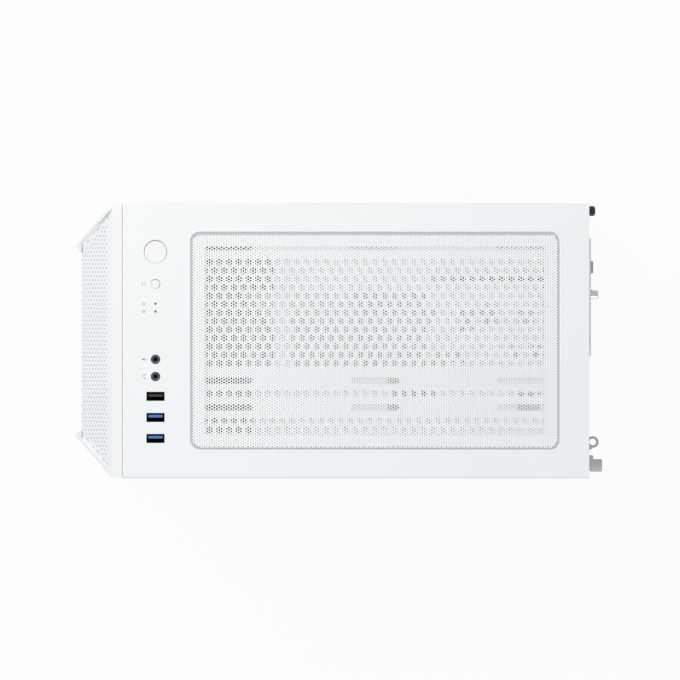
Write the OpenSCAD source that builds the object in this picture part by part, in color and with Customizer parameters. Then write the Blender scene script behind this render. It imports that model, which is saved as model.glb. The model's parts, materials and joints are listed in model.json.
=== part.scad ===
// Desktop computer tower: a white steel chassis with a mesh front, a glass side window,
// a magnetic dust filter on the roof, and the computer that it holds.
// Case frame: X runs from the lip of the front panel to the rear, Y towards the window, Z up.

/* [Case] */
// Height over the feet
case_h = 460; // [440:1:500]
// Width over the two side panels
case_w = 215; // [213:1:220]
// Front lip to the rear edge of the roof
roof_rear_x = 401.7; // [400:0.1:405]
// Front lip to the tip of the stud that stands furthest out at the rear
case_len = 414; // [412:0.5:418]
// Height of the feet
foot_h = 18; // [16:1:22]
// Thickness of the sheet steel
sheet = 1; // [0.8:0.1:1]

/* [Front panel] */
// Front lip to the joint with the roof
seam_x = 37; // [36:0.1:38]
// Depth from the lip to the upper edge of the sloping mesh
strip_x = 28.9; // [28:0.1:30]
// Half the distance between the outer corners of the two lips
lip_y = 75; // [73:0.5:76]
// Depth of the flat mesh behind the lip
mesh_x = 4.7; // [4:0.1:5]
// Angle of the sloping mesh above the horizontal
slope_angle = 49.6; // [48:0.1:51]
// Spacing of the holes in the front mesh
mesh_pitch = 16; // [15:1:18]

/* [Roof] */
// Front edge of the filter recess
recess_front_x = 90; // [88:0.1:92]
// Rear edge of the filter recess
recess_rear_x = 378.8; // [378:0.1:380]
// Half the width of the filter recess
recess_y = 85.2; // [84:0.1:86]
// Corner radius of the filter recess
recess_r = 7.5; // [6:0.5:9]
// Diameter of the round vent holes
vent_d = 5; // [4.4:0.1:5.2]
// Spacing of the vent holes along a row
vent_pitch = 7.6; // [7.5:0.1:7.8]

/* [Controls] */
// Distance of the row of controls behind the front lip
control_x = 62.9; // [61:0.1:64]
// Travel of the power button
power_travel = 1.5; // [1:0.1:1.6]
// Travel of the reset button
reset_travel = 1; // [0.6:0.1:1]

/* [Fans] */
// Side of a front fan
front_fan_size = 140; // [140:1:140]
// Side of the rear fan and of the cooler's fan
small_fan_size = 120; // [120:1:120]
// Depth of a fan
fan_depth = 25; // [25:1:25]

/* [Hidden] */

$fn = 48;
round_fn = 24;          // small round parts
gap = 0.3;              // air between bodies that move apart

// Chassis planes
half_w = case_w / 2;
skirt = 1.2;            // thickness of the roof sheet
rail_y = 98;            // inner guide rail of a side panel
edge_y = half_w - 1.6;  // side edges of the rear wall
bracket_y = 102;        // side edges of the front bracket
front_x = 38;           // front face of the front bracket
rear_x = 399.4;         // inner face of the rear wall
wall_out_x = rear_x + sheet;
floor_z = foot_h + sheet;
post_y = 80;                    // push-in posts of the front panel: place, size and heights
post_r = 2.5;
post_length = 3.6;
post_zs = [62, 250, 428];
power_switch_z = 446.1;         // tops of the switches under the two buttons
reset_switch_z = 446.6;
stem_air = 0.4;                 // air under a stem when its button is pressed home
pan_z = case_h - 2 * skirt;     // underside of the filter recess
skirt_z = case_h - 12;          // lower edge of the roof's skirt
sill_z = foot_h + 10;           // upper edge of the base pan's skirt
tray_y = -85;                   // back face of the motherboard tray
shroud_z = 118;                 // top of the power supply shroud

// Side panels
panel_z = [sill_z + 0.5, skirt_z - 0.5];
panel_x = seam_x + 0.5;
flange_x = [41, rear_x - 0.6];
flange_y = [99.5, half_w - sheet];
screw_z = [84, 392];            // heights of the side panels' thumbscrews
window_screw_y = 102.2;
tray_screw_y = -98;

// Motherboard and its components
board_x = [153.5, 397.5];
board_z = [128, 433];
board_y = -76;                  // component side of the board
board_t = 1.6;
socket = [272, 345];            // centre of the processor, x and z
slot_pitch = 20.32;
slot_top_z = 255;               // centre of the highest expansion slot
slot_y = [-70, 30];             // an expansion slot's opening
io_y = [-78, -33.5];            // rear port aperture
io_z = [272, 430.8];

// Fans
front_fan_z = [182, 324];
front_fan_bore = 66.5;
small_fan_bore = 57.5;
rear_fan = [34, 385];           // centre of the rear fan, y and z
hub_r = 20;
axle_r = 1.5;
axle_clearance = 0.05;
front_fan_x = front_x + sheet;
rear_fan_x = rear_x - fan_depth;
cooler_fan_x = 218;

// Power supply
psu_x = [259, rear_x];
psu_y = [-75, 75];
psu_z = [24, 110];
psu_fan = [329, 0];             // centre of the fan, x and y
psu_bore = 58;
switch_pin = [396.8, 47];       // pin of the rocker switch, x and z

// Graphics card
card_x = [131, 398];
card_y = [-70, 40];
card_z = slot_top_z - slot_pitch - 0.8;     // underside of the card's board
card_fan_x = [190, 288];
card_fan_y = -12;
card_fan_r = 43;
card_low_z = card_z - 40;       // underside of the card's shroud

// Control strip on the roof
board_io_z = 440;               // underside of the front input and output board
power_y = 69.7;
reset_y = 44.6;
light_ys = [29.1, 23];
jack_ys = [-14.4, -27.8];
usb2_y = -43.3;
usb3_ys = [-59.8, -76.2];
usb_size = [14, 6.9];           // outside of a socket's bezel
usb_wall = [0.75, 0.9];         // thickness of the bezel
power_r = 9.15;
reset_r = 3.8;
jack_r = 3.65;
light_r = 1;

// Moves the case frame so that the whole tower is centred on the origin
module placed() {
    translate([-case_len / 2, 0, 0]) children();
}

// Extrudes a Y-Z outline along X
module run_x(x0, x1) {
    translate([x0, 0, 0]) rotate([90, 0, 90]) linear_extrude(x1 - x0) children();
}

// Extrudes an X-Z outline along Y
module run_y(y0, y1) {
    translate([0, y1, 0]) rotate([90, 0, 0]) linear_extrude(y1 - y0) children();
}

// Extrudes an X-Y outline along Z
module run_z(z0, z1) {
    translate([0, 0, z0]) linear_extrude(z1 - z0) children();
}

// Box between two corners
module block(low, high) {
    translate(low) cube(high - low);
}

// Rectangle between two corners
module area(low, high) {
    translate(low) square(high - low);
}

// Rectangle between two corners, with round corners
module round_area(low, high, r) {
    area(low + [r, 0], high - [r, 0]);
    area(low + [0, r], high - [0, r]);
    for (x = [low[0] + r, high[0] - r], y = [low[1] + r, high[1] - r])
        translate([x, y]) circle(r, $fn = round_fn);
}

// Hexagonal lattice of holes inside a rectangle, with every second row shifted by half
module lattice(low, high, pitch, hole_r, sides = 6) {
    row = pitch * sqrt(3) / 2;
    rows = floor((high[1] - low[1]) / row);
    count = floor((high[0] - low[0]) / pitch);
    start = [
        (low[0] + high[0] - count * pitch) / 2,
        (low[1] + high[1] - rows * row) / 2,
    ];
    for (j = [0 : rows], i = [0 : count - (j % 2)])
        translate(start + [(i + (j % 2) / 2) * pitch, j * row])
            circle(hole_r, $fn = sides);
}

// Outline of a slot with round ends along the first axis, centred
module slot(length, width) {
    area([-length / 2 + width / 2, -width / 2], [length / 2 - width / 2, width / 2]);
    for (s = [-1, 1])
        translate([s * (length - width) / 2, 0]) circle(width / 2, $fn = round_fn);
}

// ---------------------------------------------------------------- chassis

// Side skirt with a return flange and an inner guide rail: edge and inner heights, one side
module rail_profile(edge_z, lip_z, rail_z) {
    for (s = [0, 1])
        mirror([s, 0]) {
            area([half_w - sheet, min(edge_z, lip_z)], [half_w, max(edge_z, lip_z)]);
            area([rail_y, lip_z - (lip_z > edge_z ? sheet : 0)],
                [half_w, lip_z + (lip_z > edge_z ? 0 : sheet)]);
            area([rail_y, min(lip_z, rail_z)], [rail_y + sheet, max(lip_z, rail_z)]);
        }
}

module base_pan() color("white") placed() {
    intake = [[266, -52], [392, 52]];
    difference() {
        run_x(front_x + sheet, rear_x) {
            area([-half_w, foot_h], [half_w, floor_z]);
            rail_profile(foot_h, sill_z, sill_z + 8);
        }
        run_z(foot_h - 1, floor_z + 1)
            for (x = [intake[0][0] : 9 : intake[1][0]])
                translate([x, 0]) rotate(90) slot(intake[1][1] - intake[0][1], 5);
    }
    // rails that the power supply's filter slides in
    for (s = [0, 1])
        mirror([0, s, 0])
            run_x(250, rear_x) {
                area([64.5, 12], [65.5, foot_h]);
                area([60.5, 12], [65.5, 13]);
            }
}

module feet() color("white") placed() {
    for (x = [72, 366], s = [0, 1])
        mirror([0, s, 0])
            run_z(2, foot_h)
                round_area([x - 28, 70], [x + 28, 98], 8);
}

// Pads under the feet and between the power supply and the base pan
module rubber_pads() color("dimgray") placed() {
    for (x = [72, 366], s = [0, 1])
        mirror([0, s, 0])
            run_z(0, 2)
                round_area([x - 24, 74], [x + 24, 94], 6);
    for (x = [psu_x[0] + 0.5, psu_x[1] - 6.5], s = [0, 1])
        mirror([0, s, 0])
            block([x, 60, floor_z], [x + 6, 72, psu_z[0]]);
}

module front_bracket() color("white") placed() {
    run_x(front_x, front_x + sheet)
        difference() {
            area([-bracket_y, floor_z], [bracket_y, pan_z]);
            for (z = front_fan_z) {
                translate([0, z]) circle(front_fan_bore);
                for (y = [-62.25, 62.25], dz = [-62.25, 62.25])
                    translate([y, z + dz]) circle(2.2, $fn = round_fn);
            }
            // holes for the front panel's push-in posts
            for (y = [-post_y, post_y], z = post_zs)
                translate([y, z]) circle(post_r + 0.5, $fn = round_fn);
        }
    for (s = [0, 1])
        mirror([0, s, 0])
            run_y(97 - sheet, 97)
                area([front_x + sheet, floor_z], [60, pan_z]);
}

module motherboard_tray() color("white") placed() {
    difference() {
        run_y(tray_y, tray_y + sheet)
            difference() {
                area([front_x + sheet, floor_z], [rear_x, pan_z]);
                // access to the back of the processor's socket
                round_area([socket[0] - 55, 282], [socket[0] + 55, 402], 8);
                // cable passages in front of the board
                for (z = [170, 262, 354])
                    round_area([118, z - 32], [142, z + 32], 6);
                // cable passage under the shroud
                round_area([226, 40], [254, 100], 6);
            }
    }
}

// Outline of the rear wall, seen from the front
module rear_wall_outline() {
    difference() {
        area([-edge_y, floor_z], [edge_y, pan_z]);
        area([io_y[0], io_z[0]], [io_y[1], io_z[1]]);
        for (i = [0 : 6])
            area([slot_y[0], slot_top_z - i * slot_pitch - 7.5],
                [slot_y[1], slot_top_z - i * slot_pitch + 7.5]);
        area([psu_y[0] + 4, psu_z[0] + 3], [psu_y[1] - 4, psu_z[1] - 3]);
        area([-11.2, 336], [79.4, 434]);
        for (y = [-52.5, 52.5], z = [-52.5, 52.5])
            translate([rear_fan[0] + y, rear_fan[1] + z]) circle(2.2, $fn = round_fn);
        // open forks that the side panels' thumbscrews clamp on
        for (z = screw_z) {
            translate([window_screw_y, z]) circle(2.2, $fn = round_fn);
            area([window_screw_y, z - 2.2], [half_w, z + 2.2]);
            translate([tray_screw_y, z]) circle(2.7, $fn = round_fn);
            area([-half_w, z - 2.7], [tray_screw_y, z + 2.7]);
        }
    }
}

module rear_wall() color("white") placed() {
    face_x = 403.5;
    run_x(rear_x, wall_out_x) rear_wall_outline();
    // raised field with the grille of the rear fan
    run_x(wall_out_x, face_x)
        difference() {
            area([-12.2, 335], [80.4, 435]);
            area([-11.2, 336], [79.4, 434]);
            area([-3.4, 430], [2.6, 436]);
        }
    run_x(face_x - sheet, face_x)
        difference() {
            area([-12.2, 335], [80.4, 435]);
            lattice([-5, 342], [73, 426], 9, 4);
            area([-3.4, 430], [2.6, 436]);
        }
}

// Rounded outer edge of the roof between its flat top and its skirts
module roof_profile() {
    edge_r = 2;
    difference() {
        union() {
            area([-half_w, case_h - skirt], [half_w, case_h]);
            for (s = [0, 1])
                mirror([s, 0]) {
                    area([half_w - skirt, skirt_z], [half_w, case_h]);
                    area([half_w - skirt - edge_r, case_h - skirt - edge_r],
                        [half_w, case_h]);
                }
        }
        for (s = [0, 1])
            mirror([s, 0]) {
                difference() {
                    area([half_w - edge_r, case_h - edge_r], [half_w + 1, case_h + 1]);
                    translate([half_w - edge_r, case_h - edge_r]) circle(edge_r);
                }
                translate([half_w - skirt - edge_r, case_h - skirt - edge_r])
                    circle(edge_r);
            }
    }
    rail_profile(case_h - skirt, skirt_z, skirt_z - 8);
}

// Holes of the control strip
module control_holes() {
    translate([control_x, power_y]) circle(power_r);
    translate([control_x, reset_y]) circle(reset_r, $fn = round_fn);
    for (y = light_ys)
        translate([control_x, y]) circle(light_r, $fn = round_fn);
    for (y = jack_ys)
        translate([control_x, y]) circle(jack_r + 0.1, $fn = round_fn);
    for (y = concat([usb2_y], usb3_ys))
        translate([control_x, y]) square(usb_size + [0.2, 0.2], center = true);
}

// Row of round vents from x0 to the rear end of the field
module vent_row(x0, y) {
    for (x = [x0 : vent_pitch : 368])
        translate([x, y]) circle(vent_d / 2, $fn = round_fn);
}

// Vents of the roof: a round field, fan slots and single rows
module roof_vents() {
    first_x = 105.2;
    row = vent_pitch * sqrt(3) / 2;
    for (j = [0 : 12])
        vent_row(first_x - (j % 2) * vent_pitch / 2, 61.5 - j * row);
    vent_row(first_x, -41.2);
    vent_row(first_x - vent_pitch / 2, -62.5);
    vent_row(first_x, -69.6);
    for (y = [73.4, -31.1, -52], x = [119.9, 234.3, 348.7])
        translate([x, y]) slot(38, 4.9);
}

module top_cover() color("white") placed() {
    low = [recess_front_x, -recess_y];
    high = [recess_rear_x, recess_y];
    difference() {
        union() {
            run_x(seam_x + 0.1, roof_rear_x) roof_profile();
            run_x(roof_rear_x - skirt, roof_rear_x)
                area([-half_w + 2, skirt_z], [half_w - 2, case_h - skirt]);
        }
        run_z(case_h - skirt - 0.01, case_h + 1) round_area(low, high, recess_r);
        run_z(case_h - skirt - 1, case_h + 1) control_holes();
        // the rails stop short of the rear wall and the front bracket
        block([rear_x - 0.2, -edge_y - 0.2, skirt_z - 10],
            [wall_out_x + 0.05, edge_y + 0.2, case_h - skirt]);
        block([rear_x - 0.2, -half_w, skirt_z - 10], [roof_rear_x + 1, half_w, skirt_z]);
        block([seam_x, -edge_y - 0.2, skirt_z - 10],
            [front_x + sheet, edge_y + 0.2, case_h - skirt]);
    }
    // floor of the recess
    run_z(pan_z, case_h - skirt)
        difference() {
            round_area(low - [skirt, skirt], high + [skirt, skirt], recess_r + skirt);
            roof_vents();
        }
    // posts that carry the front input and output board
    for (x = [49.5, 76.5], y = [-80, 77])
        translate([x, y, board_io_z + board_t])
            cylinder(r = 2.2, h = case_h - skirt - board_io_z - board_t, $fn = round_fn);
}

module psu_shroud() color("white") placed() {
    x0 = 70;
    side_y = 97;
    difference() {
        union() {
            run_z(shroud_z - sheet, shroud_z)
                difference() {
                    area([x0, tray_y + sheet], [rear_x, side_y]);
                    round_area([140, -72], [250, -52], 5);
                }
            run_y(side_y - sheet, side_y) area([x0, floor_z], [rear_x, shroud_z]);
        }
        run_y(side_y - sheet - 1, side_y + 1)
            for (x = [280 : 9 : 380])
                translate([x, 67]) rotate(90) slot(56, 4);
    }
}

// ---------------------------------------------------------------- front panel

mesh_hole_r = mesh_pitch * 0.42;
panel_low_z = foot_h + 2;
panel_top_z = case_h - 0.2;
front_side_y = half_w - 0.5;
fold_z = panel_top_z - (strip_x - mesh_x) * tan(slope_angle);
chin_z = 40;
wall_n = 2.4;           // thickness of the front panel's plastic
rim_rise = 3;           // height of the panel's edges above the sloped mesh
mesh_t = 1.2;
mesh_ys = [75, 101];    // half the width of the mesh at its lower and upper edge

// Outline of one side of the front panel in plan
cheek_points = [
    [seam_x - 0.2, front_side_y], [strip_x, front_side_y], [0, lip_y], [0, lip_y - 2],
    [2.5, lip_y - 4.5], [mesh_x, lip_y - 4.5], [mesh_x, 77.5], [strip_x + 1.9, front_side_y - 1.7],
    [seam_x - 0.2, front_side_y - 1.7],
];

// Height of the sloped mesh's outer face at a place along the case
function slope_z(x) = fold_z + (x - mesh_x) * tan(slope_angle);

// Outline of the whole front panel in plan
module front_outline() {
    polygon([
        [seam_x - 0.2, front_side_y], [strip_x, front_side_y], [0, lip_y], [mesh_x, lip_y - 2],
        [mesh_x, -lip_y + 2], [0, -lip_y], [strip_x, -front_side_y], [seam_x - 0.2, -front_side_y],
    ]);
}

module front_frame() color("white") placed() {
    difference() {
        union() {
            for (s = [0, 1])
                mirror([0, s, 0])
                    run_z(panel_low_z, panel_top_z) polygon(cheek_points);
            // ledges that close the gap between the cheeks and the sloped mesh
            intersection() {
                for (s = [0, 1])
                    mirror([0, s, 0])
                        run_z(fold_z - 10, panel_top_z)
                            polygon([
                                [mesh_x, mesh_ys[0] + 0.35], [mesh_x + mesh_t, mesh_ys[0] + 0.35],
                                [strip_x, mesh_ys[1] + 0.35], [strip_x, mesh_ys[1] + 3],
                                [mesh_x, mesh_ys[0] + 3.5],
                            ]);
                run_y(-half_w, half_w)
                    polygon([
                        [mesh_x, fold_z - wall_n], [strip_x, slope_z(strip_x) - wall_n],
                        [strip_x, slope_z(strip_x)], [mesh_x, fold_z],
                    ]);
            }
            // solid strip along the roof
            block([strip_x, -front_side_y, panel_top_z - wall_n],
                [seam_x - 0.2, front_side_y, panel_top_z]);
            // chin and floor
            block([2.5, -lip_y, panel_low_z], [mesh_x + wall_n, lip_y, chin_z]);
            run_z(panel_low_z, panel_low_z + wall_n) front_outline();
            // bosses of the push-in posts
            for (s = [0, 1], z = post_zs)
                mirror([0, s, 0])
                    block([32, post_y - 4, z - 4], [seam_x - 0.2, front_side_y - 1, z + 4]);
        }
        // the mesh slopes down from the strip, so the corners in front of it are open
        block([2.5, -lip_y + 4.5, chin_z], [mesh_x + wall_n, lip_y - 4.5, panel_top_z + 1]);
        // and the edges beside it slope down with it
        run_y(-half_w, half_w)
            polygon([
                [-1, slope_z(-1) + rim_rise], [strip_x, slope_z(strip_x) + rim_rise],
                [-1, slope_z(strip_x) + rim_rise],
            ]);
    }
    for (y = [-post_y, post_y], z = post_zs)
        translate([seam_x - 0.2, y, z]) rotate([0, 90, 0])
            cylinder(r = post_r, h = post_length, $fn = round_fn);
}

// One bent sheet: a flat field from the chin to the fold, and a field that slopes back
module front_mesh() color("white") placed() {
    slope_len = (strip_x - mesh_x) / cos(slope_angle) - 1.6;
    back = [sin(slope_angle), -cos(slope_angle)] * mesh_t;
    up = [cos(slope_angle), sin(slope_angle)];
    fold = [mesh_x, fold_z];
    inner_fold = fold + back + up * (1 - sin(slope_angle)) / cos(slope_angle) * mesh_t;
    difference() {
        run_y(-mesh_ys[1], mesh_ys[1])
            polygon([
                [mesh_x, chin_z + 0.1], [mesh_x + mesh_t, chin_z + 0.1], inner_fold,
                fold + up * slope_len + back, fold + up * slope_len, fold,
            ]);
        // the sides follow the inside of the frame
        for (s = [0, 1])
            mirror([0, s, 0])
                run_z(0, case_h + 10)
                    polygon([
                        [0, mesh_ys[0]], [mesh_x + mesh_t, mesh_ys[0]], [strip_x, mesh_ys[1]],
                        [strip_x, mesh_ys[1] + 5], [0, mesh_ys[1] + 5],
                    ]);
        run_x(mesh_x - 1, mesh_x + mesh_t + 1)
            lattice([-62, chin_z + 10], [62, fold_z - 10], mesh_pitch, mesh_hole_r);
        translate([fold[0], 0, fold[1]])
            rotate([0, -slope_angle, 0])
                translate([slope_len / 2, 0, -mesh_t - 1])
                    linear_extrude(mesh_t + 2)
                        rotate(90) lattice([-72, -9], [72, 9], mesh_pitch, mesh_hole_r);
    }
}

// ---------------------------------------------------------------- dust filters

filter_low = [recess_front_x + 0.4, -recess_y + 0.4];
filter_high = [recess_rear_x - 0.4, recess_y - 0.4];
band = 11.7;            // width of the magnetic band

module top_filter_frame() color("whitesmoke") placed() {
    run_z(case_h - skirt + 0.1, case_h - 0.5)
        difference() {
            round_area(filter_low, filter_high, recess_r - 0.4);
            area(filter_low + [band, band], filter_high - [band, band]);
        }
}

module top_filter_mesh() color("white") placed() {
    run_z(case_h - 0.5, case_h - 0.05)
        difference() {
            round_area(filter_low, filter_high, recess_r - 0.4);
            lattice(filter_low + [band + 4, band + 4], filter_high - [band + 4, band + 4],
                mesh_pitch, mesh_hole_r);
        }
}

module psu_filter() color("gainsboro") placed() {
    low = [256, -63.5];
    high = [roof_rear_x - 4, 63.5];
    run_z(13.4, 15.4)
        difference() {
            area(low, high);
            area(low + [8, 8], high - [8, 8]);
        }
    run_z(14, 14.6)
        difference() {
            area(low + [4, 4], high - [4, 4]);
            lattice(low + [16, 16], high - [16, 16], mesh_pitch, mesh_hole_r);
        }
    // finger pull at the rear
    run_z(10, 15.4) area([high[0] - 2, -20], [high[0], 20]);
}

// ---------------------------------------------------------------- side panels

module window_glass() color("lightblue", 0.4) placed() {
    run_y(half_w - 4.2, half_w)
        round_area([panel_x, panel_z[0]], [387, panel_z[1]], 3);
}

// Steel frame behind the glass, with guide flanges and a rear rail
module window_frame() color("white") placed() {
    back_y = half_w - 5.2;
    face_y = half_w - 4.2;
    run_y(back_y, face_y)
        difference() {
            area([flange_x[0], panel_z[0] + 1], [388.3, panel_z[1] - 1]);
            round_area([66, 54], [366, 424], 6);
        }
    for (z = [panel_z[0], panel_z[1] - sheet])
        block([flange_x[0], flange_y[0], z], [388.3, face_y, z + sheet]);
    run_z(panel_z[0], panel_z[1]) {
        area([387.3, back_y], [388.3, half_w]);
        area([387.3, half_w - sheet], [roof_rear_x, half_w]);
    }
    run_x(roof_rear_x - sheet, roof_rear_x)
        difference() {
            area([93, panel_z[0]], [half_w, panel_z[1]]);
            for (z = screw_z)
                translate([window_screw_y, z]) circle(2.2, $fn = round_fn);
        }
}

// Rounded black knob on a screw, along X from the rear rail
module window_screw(z) {
    translate([roof_rear_x + 0.1, window_screw_y, z]) rotate([0, 90, 0])
        rotate_extrude() {
            area([0, 0], [3, 6.2]);
            area([3, 0], [4, 4.2]);
            intersection() {
                translate([2, 4.2]) circle(2, $fn = round_fn);
                area([2, 4], [4, 6.2]);
            }
        }
    translate([390, window_screw_y, z]) rotate([0, 90, 0])
        cylinder(r = 1.7, h = roof_rear_x + 0.2 - 390, $fn = round_fn);
}

module window_screw_upper() color("black") placed() window_screw(screw_z[1]);
module window_screw_lower() color("black") placed() window_screw(screw_z[0]);

module tray_panel() color("white") placed() {
    outer = -half_w;
    run_y(outer, outer + sheet)
        area([panel_x, panel_z[0]], [roof_rear_x, panel_z[1]]);
    for (z = [panel_z[0], panel_z[1] - sheet])
        block([flange_x[0], outer, z], [flange_x[1], -flange_y[0], z + sheet]);
    run_x(roof_rear_x - sheet, roof_rear_x)
        difference() {
            area([outer, panel_z[0]], [-93, panel_z[1]]);
            for (z = screw_z)
                translate([tray_screw_y, z]) circle(2.7, $fn = round_fn);
        }
}

// Fluted thumbscrew along X: head from x0 to x1 on a shank that starts at shank_x
module thumbscrew(x0, x1, head_r, shank_x, shank_r) {
    teeth = 24;
    translate([x0, 0, 0]) rotate([0, 90, 0])
        linear_extrude(x1 - x0)
            difference() {
                circle(head_r);
                for (i = [0 : teeth - 1])
                    rotate(i * 360 / teeth)
                        translate([head_r, 0]) rotate(45) square(0.7, center = true);
            }
    translate([shank_x, 0, 0]) rotate([0, 90, 0])
        cylinder(r = shank_r, h = x0 - shank_x + 0.1, $fn = round_fn);
}

module tray_panel_screw(z) {
    translate([0, tray_screw_y, z]) {
        thumbscrew(403.7, 413.2, 5, 390, 2.2);
        translate([roof_rear_x + 0.1, 0, 0]) rotate([0, 90, 0]) cylinder(r = 4, h = 2.1);
    }
}

module tray_panel_screw_upper() color("gainsboro") placed() tray_panel_screw(screw_z[1]);
module tray_panel_screw_lower() color("gainsboro") placed() tray_panel_screw(screw_z[0]);

// ---------------------------------------------------------------- controls

module io_board() color("darkgreen") placed() {
    run_z(board_io_z, board_io_z + board_t)
        round_area([46, -83], [80, 80], 2);
    // switches under the two buttons, and the plug of the front cable
    block([control_x - 6, power_y - 6, board_io_z + board_t], [control_x + 6, power_y + 6, power_switch_z]);
    block([control_x - 3, reset_y - 3, board_io_z + board_t], [control_x + 3, reset_y + 3, reset_switch_z]);
    block([54, 0, board_io_z - 8], [72, 8, board_io_z]);
}

// Button with a cap in a hole of radius hole_r, a retaining flange and a stem down to stem_z
module button(y, hole_r, top_z, stem_z, stem_r) {
    under_z = case_h - skirt;
    translate([control_x, y, 0]) {
        run_z(under_z - 1.5, top_z - 0.4) circle(hole_r - 0.4);
        run_z(top_z - 0.4, top_z) circle(hole_r - 0.7);
        run_z(under_z - 1.7, under_z - gap) circle(hole_r + 1.2);
        run_z(stem_z, under_z - 1.5) circle(stem_r, $fn = round_fn);
    }
}

module power_button() color("white") placed()
    button(power_y, power_r, case_h + 0.8, power_switch_z + power_travel + stem_air, 4);
module reset_button() color("white") placed()
    button(reset_y, reset_r, case_h + 0.4, reset_switch_z + reset_travel + stem_air, 2);

module led_light_pipes() color("gray") placed() {
    for (y = light_ys)
        translate([control_x, y, board_io_z + board_t])
            cylinder(r = light_r - 0.05, h = case_h - 0.05 - board_io_z - board_t, $fn = round_fn);
}

module audio_jacks() color("black") placed() {
    for (y = jack_ys)
        difference() {
            union() {
                block([control_x - 4.5, y - 4.5, board_io_z + board_t],
                    [control_x + 4.5, y + 4.5, case_h - skirt - 0.1]);
                translate([control_x, y, case_h - skirt - 0.2])
                    cylinder(r = jack_r, h = skirt + 0.3, $fn = round_fn);
            }
            translate([control_x, y, case_h + 0.1 - 14]) cylinder(r = 1.8, h = 15, $fn = round_fn);
        }
}

// USB socket: a bezel round an opening, with a tongue to one side of its middle
module usb_port(y, tongue_y) {
    low = [control_x, y] - usb_size / 2;
    high = low + usb_size;
    base_z = board_io_z + board_t;
    run_z(base_z, case_h)
        difference() {
            area(low, high);
            area(low + usb_wall, high - usb_wall);
        }
    run_z(base_z, base_z + 2) area(low, high);
    run_z(base_z + 1.5, case_h - 1.4)
        area([low[0] + 1.6, y + tongue_y], [high[0] - 1.6, y + tongue_y + 1.8]);
}

module usb2_port() color("black") placed() usb_port(usb2_y, -0.3);
module usb3_ports() color("royalblue") placed() {
    for (y = usb3_ys)
        usb_port(y, 0.3);
}

// ---------------------------------------------------------------- motherboard

hole_xs = [board_x[1] - 237, board_x[1] - 80, board_x[1] - 12];
hole_zs = [board_z[0] + 8, board_z[0] + 138, board_z[1] - 8];

module motherboard() color("darkslategray") placed() {
    memory_xs = [for (i = [0 : 3]) 179 + i * 9.5];
    run_y(board_y - board_t, board_y)
        difference() {
            area([board_x[0], board_z[0]], [board_x[1], board_z[1]]);
            for (x = hole_xs, z = hole_zs)
                translate([x, z]) circle(1.9, $fn = round_fn);
        }
    // processor socket
    block([socket[0] - 22, board_y, socket[1] - 24], [socket[0] + 22, board_y + 5.5, socket[1] + 24]);
    // memory slots
    for (x = memory_xs)
        difference() {
            block([x - 3, board_y, 272], [x + 3, board_y + 9, 414]);
            block([x - 0.8, board_y + 2, 276.4], [x + 0.8, board_y + 10, 410.1]);
        }
    // expansion slots
    for (i = [1, 3, 5])
        block([250, board_y, slot_top_z - i * slot_pitch - 3.6],
            [340, board_y + 5, slot_top_z - i * slot_pitch + 3.6]);
    // power plug on the front edge, and the row of connectors along the lower edge
    block([155, board_y, 300], [165, board_y + 12, 352]);
    block([175, board_y, 130], [225, board_y + 9, 136]);
}

module board_standoffs() color("goldenrod") placed() {
    for (x = hole_xs, z = hole_zs)
        translate([x, tray_y + sheet, z]) rotate([-90, 0, 0]) {
            cylinder(r = 3, h = board_y - board_t - tray_y - sheet, $fn = 6);
            cylinder(r = 1.6, h = board_y - tray_y - sheet + 0.4, $fn = round_fn);
            translate([0, 0, board_y - tray_y - sheet]) cylinder(r = 3.2, h = 1.8, $fn = round_fn);
        }
}

module board_heatsinks() color("whitesmoke") placed() {
    // over the voltage regulators, above and behind the processor
    for (i = [0 : 6])
        block([232 + i * 11, board_y + 2, 410], [240 + i * 11, board_y + 30, 428]);
    block([232, board_y, 410], [306, board_y + 6, 428]);
    for (i = [0 : 8])
        block([338, board_y + 2, 300 + i * 11], [356, board_y + 30, 308 + i * 11]);
    block([338, board_y, 300], [356, board_y + 6, 396]);
    // over the chipset
    block([172, board_y, 152], [222, board_y + 8, 200]);
}

// Stack of sockets that fills the rear port aperture, behind its pressed shield
module rear_port_block() color("silver") placed() {
    difference() {
        union() {
            run_x(rear_x - 1, rear_x)
                difference() {
                    area([io_y[0] + 3, io_z[0] - 3], [io_y[1] + 3, io_z[1] + 3]);
                    area([io_y[0] + 4, io_z[0] + 4], [io_y[1] - 4, io_z[1] - 4]);
                }
            block([rear_x - 26, board_y, io_z[0] + 3], [rear_x - 0.5, io_y[1] - 3, io_z[1] - 10]);
        }
        // the sockets' mouths
        for (i = [0 : 3], y = [-70, -58])
            block([rear_x - 14, y, io_z[0] + 12 + i * 17], [rear_x + 1, y + 7, io_z[0] + 25 + i * 17]);
        block([rear_x - 14, -68, io_z[0] + 84], [rear_x + 1, -54, io_z[0] + 99]);
        for (i = [0 : 1])
            block([rear_x - 14, -71, io_z[0] + 106 + i * 16], [rear_x + 1, -65, io_z[0] + 120 + i * 16]);
        for (y = [-70, -57, -44], i = [0, 1])
            translate([rear_x - 14, y + 2, io_z[0] + 138 + i * 8]) rotate([0, 90, 0])
                cylinder(r = 1.8, h = 15, $fn = round_fn);
    }
}

module memory_modules() color("white") placed() {
    for (i = [1, 3]) {
        x = 179 + i * 9.5;
        block([x - 0.7, board_y + 2, 276.5], [x + 0.7, board_y + 30, 410]);
        run_z(277, 409.5)
            polygon([
                [x - 2.8, board_y + 9.5], [x + 2.8, board_y + 9.5],
                [x + 2.8, board_y + 38], [x + 1.4, board_y + 41],
                [x - 1.4, board_y + 41], [x - 2.8, board_y + 38],
            ]);
    }
}

// ---------------------------------------------------------------- processor cooler

cooler_x = [cooler_fan_x + fan_depth, 295];
cooler_z = [285, 405];
fin_y = [-32, 66];
pipe_xs = [256, 266, 276, 286];

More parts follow.
